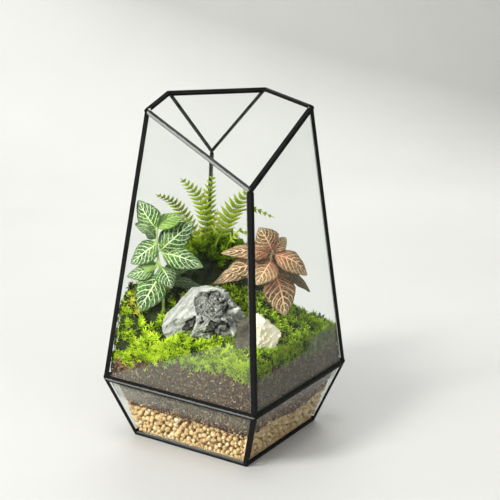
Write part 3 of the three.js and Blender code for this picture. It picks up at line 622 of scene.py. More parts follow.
def case_corners():
    corners = []
    for x, y in ((-1, 0), (0, -1), (1, 0), (0, 1)):
        top = SIDE_TOP_HEIGHT if x else FRONT_TOP_HEIGHT
        for reach, z in ((BASE_REACH, 0), (WAIST_REACH, WAIST_HEIGHT), (upper_reach(top), top)):
            corners.append((x * reach, y * reach, z))
    for x in (RIDGE_LEFT_X, RIDGE_RIGHT_X):
        corners.append((x, upper_reach(RIDGE_HEIGHT) - abs(x), RIDGE_HEIGHT))
    return np.array(corners, float)


SOLDER_SIZE, FOOT_SOLDER_SIZE, SOLDER_SUNK = 1.75, 1.6, 0.25


def solder_joints():
    """A flat drop of painted solder in each joint of the bars, just under the outer faces."""
    heap = Heap()
    for k, corner in enumerate(case_corners()):
        points, faces = ball(3, 0.12, k, 0.8)
        inward = unit(np.array([0, 0, 0.45 * RIDGE_HEIGHT]) - corner)
        size = SOLDER_SIZE if corner[2] else FOOT_SOLDER_SIZE
        centre = corner + inward * (size + SOLDER_SUNK)
        heap.add(centre + points * size, faces, rng.random())
    heap.piece("solder_joints", METAL, "metal")


solder_joints()

# ------------------------------------------------------------------ fill

# Columns on each side of the fill's outline; the two short sides are the hollows.
SIDE_COLUMNS = (96, 96, 8, 96, 96, 8)


def outline(z):
    """Corners of the fill at heights z, as (6, ..., 2)."""
    reach, side = fill_reach(z, FILL_DEPTH), side_reach(z)
    rest = reach - side
    zero = np.zeros_like(reach)
    xs = [-side, zero, side, side, zero, -side]
    ys = [-rest, -reach, -rest, rest, reach, rest]
    return np.stack([np.stack([x, y], -1) for x, y in zip(xs, ys)])


def wall_columns(finer=1.0):
    """(side, share along it) of each column round the fill."""
    counts = [int(count * finer) for count in SIDE_COLUMNS]
    return np.array([(side, k / n) for side, n in enumerate(counts) for k in range(n)])


def side_run(columns, z):
    """Where each column's side of the outline starts at its height z, and the way along it."""
    corners, side, index = outline(z), columns[:, 0].astype(int), np.arange(len(columns))
    start = corners[side, index]
    return start, corners[(side + 1) % 6, index] - start


def wall_points(columns, z):
    """Points of the fill's wall at each column's height z."""
    start, along = side_run(columns, z)
    return np.column_stack([start + along * columns[:, 1:2], z])


def outward_normals(columns, heights):
    """Unit vectors out of the wall."""
    up = wall_points(columns, heights + 1) - wall_points(columns, heights)
    along = side_run(columns, heights)[1]
    return unit(np.cross(np.column_stack([along, np.zeros(len(along))]), up))


def wall_at_height(columns, height):
    """Points of the wall where it meets a surface height(x, y)."""
    z = np.full(len(columns), 60.0)
    for _ in range(12):
        points = wall_points(columns, z)
        z = 0.5 * z + 0.5 * height(points[:, 0], points[:, 1])
    return wall_points(columns, z)


def drawn_columns(count, finer, lower, upper, jitter=0.0):
    """Columns drawn at random, and how high two surfaces meet the wall there."""
    columns = wall_columns(finer)
    picked = columns[rng.integers(0, len(columns), count)]
    if jitter:
        picked[:, 1] = np.clip(picked[:, 1] + rng.uniform(-jitter, jitter, count), 0, 0.999)
    return picked, wall_at_height(picked, lower)[:, 2], wall_at_height(picked, upper)[:, 2]


def shrink(points, amount):
    """Moves points towards the middle by amounts in millimetres."""
    moved = points.copy()
    flat = np.linalg.norm(points[:, :2], axis=1, keepdims=True)
    moved[:, :2] *= 1 - np.reshape(amount, (-1, 1)) / np.maximum(flat, 1e-6)
    return moved


def bed(lower, upper, rows, rings, dent, dent_scale, finer, seed, relief=0.0, sunk=0.15):
    """A closed body between two surfaces, filling the case, with a dented wall and top."""
    columns = wall_columns(finer)
    low, high = wall_at_height(columns, lower), wall_at_height(columns, upper)

    def drawn_in(edge, share, surface):
        ring = edge * [share, share, 1]
        ring[:, 2] = surface(ring[:, 0], ring[:, 1])
        return ring

    stack = [drawn_in(low, share, lower) for share in np.linspace(0.12, 1, 6)[:-1]]
    for z in np.linspace(low[:, 2], high[:, 2], rows + 1):
        ring = wall_points(columns, z)
        amount = dent * (0.5 + 0.5 * rough_noise(ring, dent_scale, 3, seed))
        stack.append(shrink(ring, np.clip(amount, 0, None) + sunk))
    for share in np.linspace(1, 0.02, rings + 1)[1:]:
        ring = drawn_in(high, share, upper)
        ring[:, 2] += relief * rough_noise(ring, 5, 3, seed + 1)
        stack.append(ring)
    return ring_stack(stack)


# Pebbles: balls in two layers against the glass, over a core.
# How many spots are tried for each radius, the large ones first.
PEBBLE_SIZES = ((2.5, 60), (2.15, 700), (1.8, 1100), (1.45, 900), (1.1, 300))
PEBBLE_ZONE = (FILL_DEPTH + 4.4, 38)
LOWEST_ROWS = ((1.6, 2.0), (0.65, 1.0))
CORNER_PUSH = 1.3
CORE_DEPTH, CORE_TOP = 6.5, 30


def packed_discs(width, height):
    """Discs that hardly overlap in a rectangle: their centres and radii."""
    centres, radii = np.empty((0, 2)), np.empty(0)
    for radius, tries in PEBBLE_SIZES:
        for spot in rng.random((tries, 2)) * [width, height]:
            r = radius * rng.uniform(0.9, 1.08)
            apart = np.linalg.norm(centres - spot, axis=1)
            if np.all(apart > 0.97 * (radii + r)):
                centres, radii = np.vstack([centres, spot]), np.append(radii, r)
    return centres, radii


def side_widths(z):
    corners = outline(np.array([z]))[:, 0]
    return np.linalg.norm(np.roll(corners, -1, 0) - corners, axis=1)


def pebble_spots(low, high):
    """Spots for pebbles over the whole wall: columns, heights and radii."""
    spots = []
    slant = np.hypot(1, LOWER_FLARE / np.sqrt(2))
    for side, width in enumerate(side_widths((low + high) / 2)):
        centres, radii = packed_discs(width, (high - low) * slant)
        columns = np.column_stack([np.full(len(radii), side), centres[:, 0] / width * 0.999])
        spots.append((columns, low + centres[:, 1] / slant, radii))
    return [np.concatenate(parts) for parts in zip(*spots)]


def bottom_row(smallest, largest):
    """Spots for a row of pebbles that lie on the floor pane, all along the wall."""
    columns = []
    for side, width in enumerate(side_widths(FILL_DEPTH + 1.8)):
        count = int(width / (smallest + largest + 0.2))
        columns += [(side, (k + 0.5) / count) for k in range(count)]
    size = rng.uniform(smallest, largest, len(columns))
    return np.array(columns), FILL_DEPTH + 0.1 + size, size


def pebbles(depth, fineness, shade):
    """One layer of pebbles, some way behind the wall; shade darkens the layer, painted shade in
    the gaps between the front pebbles.
    """
    heap = Heap()
    templates = [ball(fineness, 0.1, k, 1.5) for k in range(8)]
    rows = *(bottom_row(*sizes) for sizes in LOWEST_ROWS), pebble_spots(*PEBBLE_ZONE)
    columns, heights, size = (np.concatenate(parts) for parts in zip(*rows))
    normals = outward_normals(columns, heights)
    sunk = depth + size + rng.uniform(0, 1.1, len(size)) * (size > 1.05)
    sunk -= CORNER_PUSH * (columns[:, 0] % 3 == 2)
    centre = wall_points(columns, heights) - normals * sunk[:, None]
    uneven = 2.2 * noise(centre, 9, 41) + rng.uniform(-2.2, 1.8, len(size))
    top = gravel_height(*centre.T[:2]) + uneven + 2.5 * smooth((-centre[:, 0] - 45) / 25)
    keep = centre[:, 2] + 0.5 * size < top
    turns, size, centre = random_turns(len(size))[keep], size[keep], centre[keep]
    stretch = rng.uniform(0.9, 1.06, (len(size), 3)) * size[:, None]
    tone = np.clip(rng.normal(0.6, 0.2, len(size)) - shade, 0, 1)
    pick = rng.integers(0, len(templates), len(size))
    heap.add_copies(templates, pick, turns, stretch, centre, tone)
    return heap


def gravel_core():
    heap = Heap()
    columns = wall_columns(0.4)
    rings = [
        shrink(wall_points(columns, np.full(len(columns), z)), CORE_DEPTH)
        for z in np.linspace(FILL_DEPTH + 0.3, CORE_TOP, 9)
    ]
    # The core takes the darkest pebble colour: painted shade in the gaps between the pebbles.
    heap.add(*ring_stack(rings), tone=0.0)
    return heap


PEBBLES = pebble_material()
# The inner layer is darkened too: painted shade deep among the pebbles.
for name, heap in (
    ("gravel_pebbles", pebbles(depth=0, fineness=3, shade=0)),
    ("gravel_inner_pebbles", pebbles(depth=3.0, fineness=2, shade=0.4)),
    ("gravel_core", gravel_core()),
):
    heap.piece(name, PEBBLES, "gravel", ["gravel"], pressed=name != "gravel_core")


# Soil: a dented bed, crumbs set in its wall, larger ones bare in the left corner, and fibres.
PALE_CRUMBS_BELOW = 48
LUMPS_FROM_MIDDLE, LUMP_HEIGHTS = (74, 91), (58, 71)


def soil_bed():
    heap = Heap()
    lower = lambda x, y: gravel_height(x, y) - 2.4
    heap.add(*bed(lower, soil_height, 44, 10, 2.2, 3.2, finer=1.6, seed=3), tone=0.24)
    return heap


def soil_lumps(count=110):
    """Larger warm-brown crumbs that lie bare in the left corner."""
    heap = Heap()
    x = -rng.uniform(*LUMPS_FROM_MIDDLE, count)
    z = rng.uniform(*LUMP_HEIGHTS, count)
    room = fill_reach(z, FILL_DEPTH + 1.4) - np.abs(x)
    y = -np.clip(room, 0, None) + rng.uniform(0, 2.5, count)
    for place in np.column_stack([x, y, z])[room > -1]:
        points, faces = ball(2, 0.4, int(rng.integers(0, 30)), 0.9)
        heap.add(place + points * rng.uniform(0.8, 2.3, 3), faces, tone=rng.uniform(0.5, 0.8))
    return heap


def soil_crumbs(count=9400):
    heap = Heap()
    templates = [ball(1, 0.35, 20 + k, 0.9) for k in range(8)]
    picked, low, high = drawn_columns(count, 1.0, gravel_height, soil_height, jitter=0.006)
    heights = low - 2.5 + (high - low + 2.5) * rng.random(count) ** 0.9
    normals = outward_normals(picked, heights)
    size = rng.uniform(0.35, 0.95, count) * np.where(rng.random(count) < 0.08, 1.8, 1)
    centre = wall_points(picked, heights) - normals * (size * 0.6)[:, None]
    stretch = rng.uniform(0.6, 1.2, (count, 3)) * size[:, None]
    tone = np.clip(rng.beta(1.5, 2.6, count) * 1.1, 0, 1)
    tone = np.where(size > 1, tone * 0.6, tone) + 0.24 * (heights < PALE_CRUMBS_BELOW)
    pick = rng.integers(0, len(templates), count)
    heap.add_copies(templates, pick, random_turns(count), stretch, centre, tone)
    return heap


def tube(path, radii, sides):
    """A closed tube along a path."""
    path = np.asarray(path, float)
    along = unit(np.gradient(path, axis=0))
    side = unit(np.cross(np.array([0.3, 1, 0.1]), along))
    up = np.cross(along, side)
    angle = (2 * np.pi * np.arange(sides) / sides)[None, :, None]
    round_it = side[:, None] * np.cos(angle) + up[:, None] * np.sin(angle)
    return ring_stack(path[:, None] + np.broadcast_to(radii, len(path))[:, None, None] * round_it)


def soil_fibres(count=1500):
    heap = Heap()
    picked, low, high = drawn_columns(count, 1.0, gravel_height, soil_height)
    heights = low + 1 + (high - low - 2) * rng.random(count)
    normals = outward_normals(picked, heights)
    t = np.linspace(-0.5, 0.5, 5)[:, None]
    for centre, normal in zip(wall_points(picked, heights) - normals * 0.45, normals):
        along = unit(np.cross(normal, unit(rng.normal(size=3))))
        bend = np.cross(normal, along)
        length, curve = rng.uniform(0.9, 3.6), rng.uniform(-0.9, 0.9)
        path = centre + along * length * t + bend * curve * (t * t - 0.1) * length * 0.6
        heap.add(*tube(path, rng.uniform(0.1, 0.24), 4), tone=rng.random())
    return heap


SOIL = soil_material()
for name, made, look in (
    ("soil_bed", soil_bed, SOIL),
    ("soil_crumbs", soil_crumbs, SOIL),
    ("soil_lumps", soil_lumps, SOIL),
    ("soil_fibres", soil_fibres, fibre_material()),
):
    made().piece(name, look, "soil", ["soil"], pressed=True)

# Painted reflections on the front panes: thin plates behind the glass that paint the haze the
# panes reflect, and cast no shadow. For each: -1 for the left pane or 1 for the right, its
# bottom and top, then how dense and how light it is, as functions of the height and of the
# share of the pane's width, from its outer corner on the left one and from the front corner on
# the right one.
FILM_DEPTHS = (GLASS_INNER + 0.02, GLASS_INNER + 0.06)
FILM_STEPS = 48
ABOVE_WAIST, BELOW_WAIST = WAIST_HEIGHT + 1, WAIST_HEIGHT - 1


def far_right(s):
    return smooth((s - 0.64) * 40)


PAINTED_REFLECTIONS = {
    "upper_left": (
        *(-1, ABOVE_WAIST, 112),
        lambda s, z: smooth((53 + 58 * s - z) / 1.6 + 0.5) * (0.17 - 0.11 * s),
        lambda s: 0.75,
    ),
    "lower_left": (
        *(-1, 24, BELOW_WAIST),
        lambda s, z: np.clip(0.42 - 0.6 * s, 0.2, 1) * smooth((z - 30) / 8),
        lambda s: 0.85 - 0.2 * s,
    ),
    "upper_right": (
        *(1, ABOVE_WAIST, 96),
        lambda s, z: 0.24 * smooth((76 + 9 * far_right(s) - z) / 2 + 0.5),
        lambda s: 0.5 + 0.08 * far_right(s),
    ),
    "lower_right": (
        *(1, 24, BELOW_WAIST),
        lambda s, z: 0.26 * smooth((z - 36) / 6) * (0.7 + 0.3 * s),
        lambda s: 0.8,
    ),
}


def painted_reflection_sheet(name, side, low, high, density, lightness):
    shares, heights = np.linspace(0.004, 0.996, FILM_STEPS), np.linspace(low, high, FILM_STEPS)
    share, z = np.meshgrid(shares, heights)
    layers = []
    for reach in (fill_reach(z, depth) for depth in FILM_DEPTHS):
        x = reach * (share - 1 if side < 0 else share)
        layers.append(np.stack([x, np.abs(x) - reach, z], -1))
    heap = Heap()
    light = np.broadcast_to(lightness(share), z.shape)
    tone, rise = (np.tile(grid.ravel(), 2) for grid in (density(share, z), light))
    heap.add(*sheet(*layers), tone=tone, rise=rise)
    heap.piece("painted_reflection_" + name, PAINTED_REFLECTION, "glass").visible_shadow = False


PAINTED_REFLECTION = painted_reflection_material()
for name, plan in PAINTED_REFLECTIONS.items():
    painted_reflection_sheet(name, *plan)

# ------------------------------------------------------------------ rocks

GREY_CENTRE, GREY_RADII = (-23.5, -25, 104), (34, 18, 27)
GREY_FACETS = (
    (-0.99, 0, 0.13, 0.93),
    (-0.81, 0, 0.59, 0.73),
    (-0.1, 0, 0.99, 0.97),
    (0.83, 0, 0.55, 0.84),
    (0.95, 0, -0.3, 0.88),
    (-0.5, -0.72, 0.48, 0.82),
    (0.15, -0.9, 0.4, 0.84),
    (0.62, -0.72, 0.3, 0.8),
    (-0.5, -0.8, -0.3, 0.72),
    (0.2, -0.85, -0.5, 0.84),
    (-0.4, 0.8, 0.45, 0.85),
    (0.5, 0.8, 0.35, 0.85),
    (0, 1, -0.2, 0.88),
    (0.1, 0.45, 0.89, 0.92),
    (0, 0, -1, 0.95),
)
TAN_CENTRE, TAN_RADII = (12, -52, 96.5), (17.5, 11.5, 18)
TAN_FACETS = (
    (0.66, 0, 0.75, 0.8),
    (-0.5, 0, 0.86, 0.88),
    (0.9, 0, -0.43, 0.84),
    (-0.95, 0, 0.1, 0.9),
    (0.45, -0.88, 0.1, 0.8),
    (-0.5, -0.84, 0.2, 0.82),
    (0.1, -0.8, -0.6, 0.85),
    (0.5, 0.85, 0.2, 0.85),
    (-0.4, 0.9, 0.1, 0.86),
    (0, 0, -1, 0.9),
)


def rock_reach(way, facets):
    reach = np.full(len(way), 1.06)
    for x, y, z, distance in facets:
        facing = way @ unit([x, y, z])
        cut = np.minimum(reach, distance / np.maximum(facing, 0.2))
        reach = np.where(facing > 0.2, cut, reach)
    x, y, z = way.T
    reach += 0.025 * np.sin(11 * x + 2) * np.sin(9 * z - 1) * np.cos(8 * y)
    return reach - 0.03 * np.abs(np.sin(5 * x - 7 * z + 3 * y))


# Recesses of the grey rock: depth in millimetres at the left and at the right, how much darker,
# by painted shade, and rougher the broken face is, then the corners, right and up from the
# rock's centre.
GREY_CARVINGS = (
    (2.2, 1.2, 1, (
        (-7.2, 11.5), (-6.8, 16.9), (-1.4, 21.6), (12.6, 22.4), (16.5, 15.4), (16.5, 5.3),
        (11.8, -0.9), (4.8, 0.6), (-5.3, 4.5),
    )),
    (2, 1.6, 1, ((1.7, 20), (7.9, 22.4), (8.7, 17.7), (3.3, 14.6))),
    (3.4, 2.2, 1, (
        (-15.4, -7.9), (-13, -0.9), (-9.9, 2.2), (-6.4, 2.2), (-6.8, -2.5), (-10.7, -9.5),
        (-14.6, -11.8),
    )),
    (2, 3.4, 1, ((0.2, -9.5), (4.8, -0.5), (14.9, -1.3), (7.2, -8.7), (2.5, -11))),
    (2.4, 2.2, 0.4, ((16.9, 13.8), (18.8, 12.3), (18.8, 6.8), (16.9, 5.3))),
    (2, 2.4, 0.3, ((25.8, 8.4), (27.3, 6.8), (28.1, 0.6), (26.2, 0.6))),
    (2.4, 2.4, 0.2, ((-16.9, -11), (-15.4, -10.2), (-12.2, -12.6), (-16.1, -16.4))),
    (1, 0.6, 0.6, ((4.8, -11), (14.9, -2.5), (21.1, -5.6), (21.9, -14.1), (6.4, -17.2))),
    (-1.3, -0.9, 0, ((-6, 3.7), (0.2, 3.4), (4.8, -0.1), (0.2, -8.7), (-5.3, -10.2), (-6, -2.5))),
)
# Cracks and ridges of its broken side, as lines in the same measures: cut into the shape,
# with painted shade in the cracks and painted highlights on the ridges.
GREY_CRACKS = (
    ((3.3, 16.2), (3.7, 20), (6.4, 21.6)),
    ((18, 13.8), (18.4, 10), (17.6, 6.1)),
    ((-13, -1.7), (-9.1, 0.6), (-6.8, 3.4)),
    ((-6.4, 2.2), (-6.8, -1.7), (-9.9, -8.7), (-13.8, -12.6)),
    ((-16.1, -7.9), (-13, -8.3), (-9.1, -7.9)),
    ((-16.1, -7.1), (-13.8, -1.7)),
    ((-16.5, -16.4), (-16.1, -11.8), (-12.2, -12.6)),
    ((-0.6, -9.8), (3.3, -10.2), (7.2, -8.3), (11, -4.4), (14.9, -1.7)),
    ((2.5, -4.8), (5.6, -0.5), (8.7, -1.3)),
    ((26.2, 8.4), (26.6, 4.5), (27.7, -0.1)),
    ((-2.9, -18), (-3.7, -13.3)),
    ((12.6, 12.3), (16.5, 14.2), (18.8, 15.4)),
    ((-1.4, 2.2), (-0.2, -0.9), (-2.2, -2.5)),
    ((13.4, -3.2), (17.2, -3.2), (20.4, -7.1)),
    ((11, -11), (9.5, -16.4)),
)
GREY_RIDGES = (
    ((-6.8, 4.5), (-3.7, 5.3), (1.7, 3.7), (6.4, 0.6), (9.5, -0.9)),
    ((-1.4, -11.8), (0.9, -7.1), (3.3, -3.2), (5.6, 0.6)),
    ((-8, 14.6), (-6.8, 18.5), (-3.7, 22), (2.5, 23.5), (8.7, 24.3), (14.1, 23.1), (17.2, 16.9)),
    ((19.2, 13.1), (21.9, 10), (24.2, 5.3), (25, 1.4), (21.9, -0.9)),
    ((15.7, 1.4), (18.8, -1.3), (21.5, -4.8)),
    ((20.4, -8.7), (22.3, -12.6), (18, -15.7)),
    ((-13, 1.4), (-9.9, 4.5), (-7.6, 4.1)),
    ((27.7, 7.6), (29.7, 3.7)),
    ((-4.9, -2.5), (-8, -9.5), (-10.7, -14.1)),
    ((14.9, -9.5), (12.6, -14.9)),
)
# Left of this, across the view, the tan rock is painted dark as shade.
TAN_PAINTED_SHADE_BEYOND = -2


def line_share(across, up, lines, width):
    """1 on the lines, 0 farther away than their width."""
    share = np.zeros(len(across))
    for line in lines:
        for (ax, ay), (bx, by) in zip(line, line[1:]):
            run = np.hypot(bx - ax, by - ay)
            t = np.clip(((across - ax) * (bx - ax) + (up - ay) * (by - ay)) / run**2, 0, 1)
            far = np.hypot(across - ax - t * (bx - ax), up - ay - t * (by - ay))
            share = np.maximum(share, smooth(1.4 - far / width))
    return share


def inside_depth(across, up, corners):
    """How far points are inside a convex polygon; less than 0 outside."""
    corners = np.array(corners)
    following = np.roll(corners, -1, 0)
    area = np.sum(corners[:, 0] * following[:, 1] - following[:, 0] * corners[:, 1])
    depth = np.full(len(across), 99.0)
    for (ax, ay), (bx, by) in zip(corners, following):
        side = (bx - ax) * (up - ay) - (by - ay) * (across - ax)
        depth = np.minimum(depth, side * np.sign(area) / np.hypot(bx - ax, by - ay))
    return depth


def carve(points, carvings, seed):
    """Cut depths towards the back, how dark the broken faces are painted as shade, then shares of
    cracks and ridges, which get painted shade and painted highlights."""
    across, up = points @ np.array(RIGHT), points @ np.array(UP)
    near = smooth(points @ np.array(BACK) / 5)
    across = across + 0.8 * rough_noise(points, 3.5, 3, seed)
    up = up + 0.8 * rough_noise(points, 3.5, 3, seed + 1)
    cut = broken = np.zeros(len(points))
    if not carvings:
        return cut, broken, broken, broken
    for left, right, dark, corners in carvings:
        share = smooth(inside_depth(across, up, corners) / 0.7 + 0.4) * near
        start, end = min(corners)[0], max(corners)[0]
        lean = np.clip((across - start) / (end - start), 0, 1)
        cut = cut + share * (left + (right - left) * lean)
        broken = np.maximum(broken, share * dark)
    uneven = 0.75 + 0.5 * noise(points, 4, seed + 2)
    cracks = line_share(across, up, GREY_CRACKS, 0.85 * uneven) * near
    ridges = line_share(across, up, GREY_RIDGES, 0.7 * uneven) * near * (1 - cracks)
    return cut + 1.4 * cracks - 0.7 * ridges, broken, cracks, ridges


def chips(points, count, step, tilt, seed):
    """Flat breaks: each point takes the level and tilt of the nearest chip. Also its shade."""
    draw = np.random.default_rng(seed)
    middles = points[draw.permutation(len(points))[:count]]
    parts = np.array_split(points, 40)
    nearest = [np.linalg.norm(part[:, None] - middles, axis=2).argmin(1) for part in parts]
    nearest = np.concatenate(nearest)
    tilts, levels = draw.normal(0, tilt, (count, 3)), draw.uniform(0, step, count)
    sloped = levels[nearest] + np.sum((points - middles[nearest]) * tilts[nearest], axis=1)
    return sloped, draw.random(count)[nearest]


def rock(centre, radii, facets, seed, craggy, carvings=(), smooth_side=None):
    """The solid's facets again, with breaks, chips and cracks cut in."""
    way, faces = ball(7)
    reach = rock_reach(way, facets)
    points = way * reach[:, None] * radii
    warp = np.stack([rough_noise(points, 9, 3, seed + k) for k in range(3)], 1) * 2.2
    outward = unit(way / np.asarray(radii))
    rough = np.ones(len(points))
    if smooth_side:
        *towards, edge = smooth_side
        rough = smooth((edge - points @ unit(towards)) / 7)
    cut, broken, cracks, ridges = carve(points, carvings, seed + 40)
    breaks, _ = chips(points + warp, 130, 1.9, 0.25, seed)
    small, shade = chips(points + warp * 0.6, 900, 0.9, 0.42, seed + 1)
    grain = rough_noise(points, 1.8, 3, seed + 17)
    pits = np.clip(rough_noise(points, 1.7, 2, seed + 29), -0.35, 1)
    across, up, near = (points @ np.array(axis) for axis in (RIGHT, UP, BACK))
    along = np.column_stack([across * 0.75 + up * 0.66, up * 0.75 - across * 0.66, near])
    grooves = rough_noise(along / [6, 0.9, 2.5], 1, 2, seed + 23)
    broken_off = rough * (breaks + small) + 1.3 * np.maximum(broken, 0.6 * rough) * pits
    worn = (1 - rough) * (0.25 * (1 + grooves) + 0.3 * np.clip(pits, 0, 1))
    depth = craggy * (broken_off + worn) + 0.25 * (1 + grain)
    points = points - outward * (depth - 0.5)[:, None] - np.array(BACK) * cut[:, None]
    pitted = craggy * np.clip(pits - 0.2, 0, 1) * (0.3 + 0.6 * np.maximum(broken, 0.7 * rough))
    # rise: painted highlights on the ridges, painted shade in cracks and pits, and a random tone
    # for each chip.
    rise = 0.65 + 0.15 * rough * (2 * shade - 1) + 0.35 * ridges - 0.65 * cracks - pitted
    kind = 0.5 + 0.5 * broken
    # On the tan rock, kind marks the side painted dark as shade.
    if not carvings:
        kind = 0.5 + 0.5 * smooth((TAN_PAINTED_SHADE_BEYOND - across) / 3)
    heap = Heap()
    heap.add(points + centre, faces, tone=1 - rough, rise=np.clip(rise, 0, 1), kind=kind)
    return heap


GREY_ROCK, TAN_ROCK = (GREY_CENTRE, GREY_RADII, GREY_FACETS), (TAN_CENTRE, TAN_RADII, TAN_FACETS)
rock(*GREY_ROCK, 4, 1.0, GREY_CARVINGS, (-0.8, -0.3, 0.35, 7)).piece(
    "rock_grey_craggy", grey_rock_material(), "rock_grey", ["rock_grey"], smooth_faces=False
)
rock(*TAN_ROCK, 9, 0.35).piece("rock_tan_rough", tan_rock_material(), "rock_tan", ["rock_tan"])


def in_rock(points, grow):
    """True where points lie inside a rock that is a little larger."""
    inside = np.zeros(len(points), bool)
    for centre, radii, facets in (GREY_ROCK, TAN_ROCK):
        local = (points - centre) / radii
        far = np.linalg.norm(local, axis=1)
        reach = rock_reach(local / far[:, None], facets)
        inside |= far < reach + grow / min(radii)
    return inside


# ------------------------------------------------------------------ moss

MOSS = moss_material(
    "moss_bright",
    deep=(0.014, 0.034, 0.001),
    middle=(0.26, 0.46, 0.005),
    bright=(0.68, 0.84, 0.045),
    gold=(0.5, 0.45, 0.06),
)
MOSS_DARK = moss_material(
    "moss_deep",
    deep=(0.005, 0.014, 0.0005),
    middle=(0.06, 0.15, 0.001),
    bright=(0.32, 0.52, 0.008),
    gold=(0.42, 0.48, 0.02),
)
SPRIG_LEAF_HALF_WIDTH, SPRIG_LEAF_THICKNESS = 0.076, 0.04
PLAN_REACH, SPRIG_PITCH, MOST_SPRIGS = 92, 3.4, 2300
FRINGE_SPRIGS, FRINGE_SIZE = 1000, 7.6
SLOPE_STEP = 2.0


def sprig_template(seed, leaves, tiers):
    """A star of long pointed leaves in tiers round a short stem, one unit high."""
    draw = np.random.default_rng(seed)
    heap = Heap()
    up = np.array([0, 0, 1.0])
    faces = [(0, 1, 3), (0, 3, 2), (0, 2, 1), (4, 3, 1), (4, 2, 3), (4, 1, 2)]
    for tier in range(tiers):
        level = 0.12 + 0.55 * tier / (tiers - 1)
        for k in range(leaves):
            angle = 2 * np.pi * (k + 0.5 * tier + draw.uniform(-0.25, 0.25)) / leaves
            out = np.array([np.cos(angle), np.sin(angle), 0])
            length = draw.uniform(0.5, 0.74) * (1 - 0.15 * tier / tiers)
            way = unit(out * 0.9 + up * (draw.uniform(0.3, 0.75) + 0.5 * tier / tiers))
            side = np.cross(up, out)
            root = up * level
            belly = root + way * length * 0.38 + up * 0.02
            tip = root + way * length - up * 0.16 * length * (1 - tier / tiers)
            half, keel = side * SPRIG_LEAF_HALF_WIDTH, np.cross(side, way) * SPRIG_LEAF_THICKNESS
            points = [root, belly + half, belly - half, belly + keel, tip]
            heap.add(points, faces, rise=level * 0.85 + np.array([-0.35, 0, 0, 0, 0.45]))
    rise = np.clip(np.concatenate(heap.marks["rise"]), 0, 1)
    return np.concatenate(heap.points), heap.faces, rise


# Shady hollows where the moss is thin and its sprigs are painted darker as shade: points of
# the line along each, and its half width.
HOLLOWS = (
    (((-60, -7), (-51, -2), (-37, 12), (-14, 17)), 7),
    (((3, 17), (10, 14), (22, 9)), 6.5),
)


def hollow_share(xy):
    """1 in the middle of a hollow, 0 away from them."""
    share = np.zeros(len(xy))
    for line, width in HOLLOWS:
        line = np.array(line, float)
        steps = np.linspace(0, len(line) - 1, 24)
        for spot in np.column_stack([np.interp(steps, range(len(line)), c) for c in line.T]):
            share = np.maximum(share, smooth(1.5 - np.linalg.norm(xy - spot, axis=1) / width))
    return share


def scatter(accept):
    """Spots over the fill's plan, on a jittered grid."""
    xs, ys = np.meshgrid(*[np.arange(-PLAN_REACH, PLAN_REACH, SPRIG_PITCH)] * 2)
    jitter = rng.uniform(-0.5, 0.5, (xs.size, 2)) * SPRIG_PITCH
    xy = np.column_stack([xs.ravel(), ys.ravel()]) + jitter
    z = moss_height(xy[:, 0], xy[:, 1])
    reach = fill_reach(z, FILL_DEPTH + 0.6)
    inside = (np.abs(xy).sum(1) < reach) & (np.abs(xy[:, 0]) < side_reach(z))
    xy = xy[inside & accept(xy) & (rng.random(len(xy)) > 0.6 * hollow_share(xy))]
    return xy[rng.permutation(len(xy))[:MOST_SPRIGS]] if len(xy) > MOST_SPRIGS else xy


def moss_normals(xy):
    """Unit vectors out of the top of the moss."""
    x, y = xy.T
    dx = (moss_height(x + SLOPE_STEP, y) - moss_height(x - SLOPE_STEP, y)) / (2 * SLOPE_STEP)
    dy = (moss_height(x, y + SLOPE_STEP) - moss_height(x, y - SLOPE_STEP)) / (2 * SLOPE_STEP)
    return unit(np.column_stack([-dx, -dy, np.ones(len(x))]))


TEMPLATES = [sprig_template(60 + k, 5 + k % 2, 3) for k in range(8)]


def moss_sprigs(xy, low_size, high_size, gold):
    """Sprigs on the top of the moss."""
    heap = Heap()
    x, y = xy.T
    z = moss_height(x, y) + rock_foot_rise(x, y)
    shady = hollow_share(xy)
    swell = noise(np.column_stack([x, y, 0 * x]), 8, 12)
    size = rng.uniform(low_size, high_size, len(x)) * (1 + 0.16 * swell) * (1 - 0.35 * shady)
    z += 1.1 * swell - 0.6 * size + rng.uniform(-0.9, 0.9, len(x)) - 3 * shady
    foot = np.column_stack([x, y, z])
    keep = ~in_rock(foot + [0, 0, 2.5], 0.4)
    foot, size = foot[keep], size[keep]
    lean = moss_normals(foot[:, :2]) * 0.75 + [0, 0, 0.4] + rng.normal(0, 0.34, (len(foot), 3))
    place_sprigs(heap, foot, lean, size, gold)
    return heap


def place_sprigs(heap, foot, lean, size, gold):
    count = len(foot)
    turns = turns_towards(lean, rng.uniform(0, 6.28, count))
    tone = np.clip(gold(foot) + rng.normal(0, 0.18, count), 0, 1)
    stretch = size[:, None] * rng.uniform(0.85, 1.15, (count, 3))
    pick = rng.integers(0, len(TEMPLATES), count)
    # Painted shade and light, with a random tone: darker in the shady hollows, on the front right
    # and on the right side, lighter on the left and in a patch on the mound.
    painted_shade_and_tone = 0.62 * hollow_share(foot[:, :2]) + 0.14 * noise(foot, 9, 33)
    painted_shade_and_tone += rng.normal(0, 0.1, count)
    x, y = foot[:, 0], foot[:, 1]
    painted_shade_and_tone += 0.12 * smooth(x / 10) * smooth(-y / 10) + 0.06 * smooth((x - 38) / 12)
    painted_shade_and_tone -= 0.08 * smooth((-x - 30) / 16) + 0.4 * smooth(2 - np.hypot(x - 7, y - 22) / 6)
    heap.add_copies(TEMPLATES, pick, turns, stretch, foot, tone, painted_shade_and_tone)


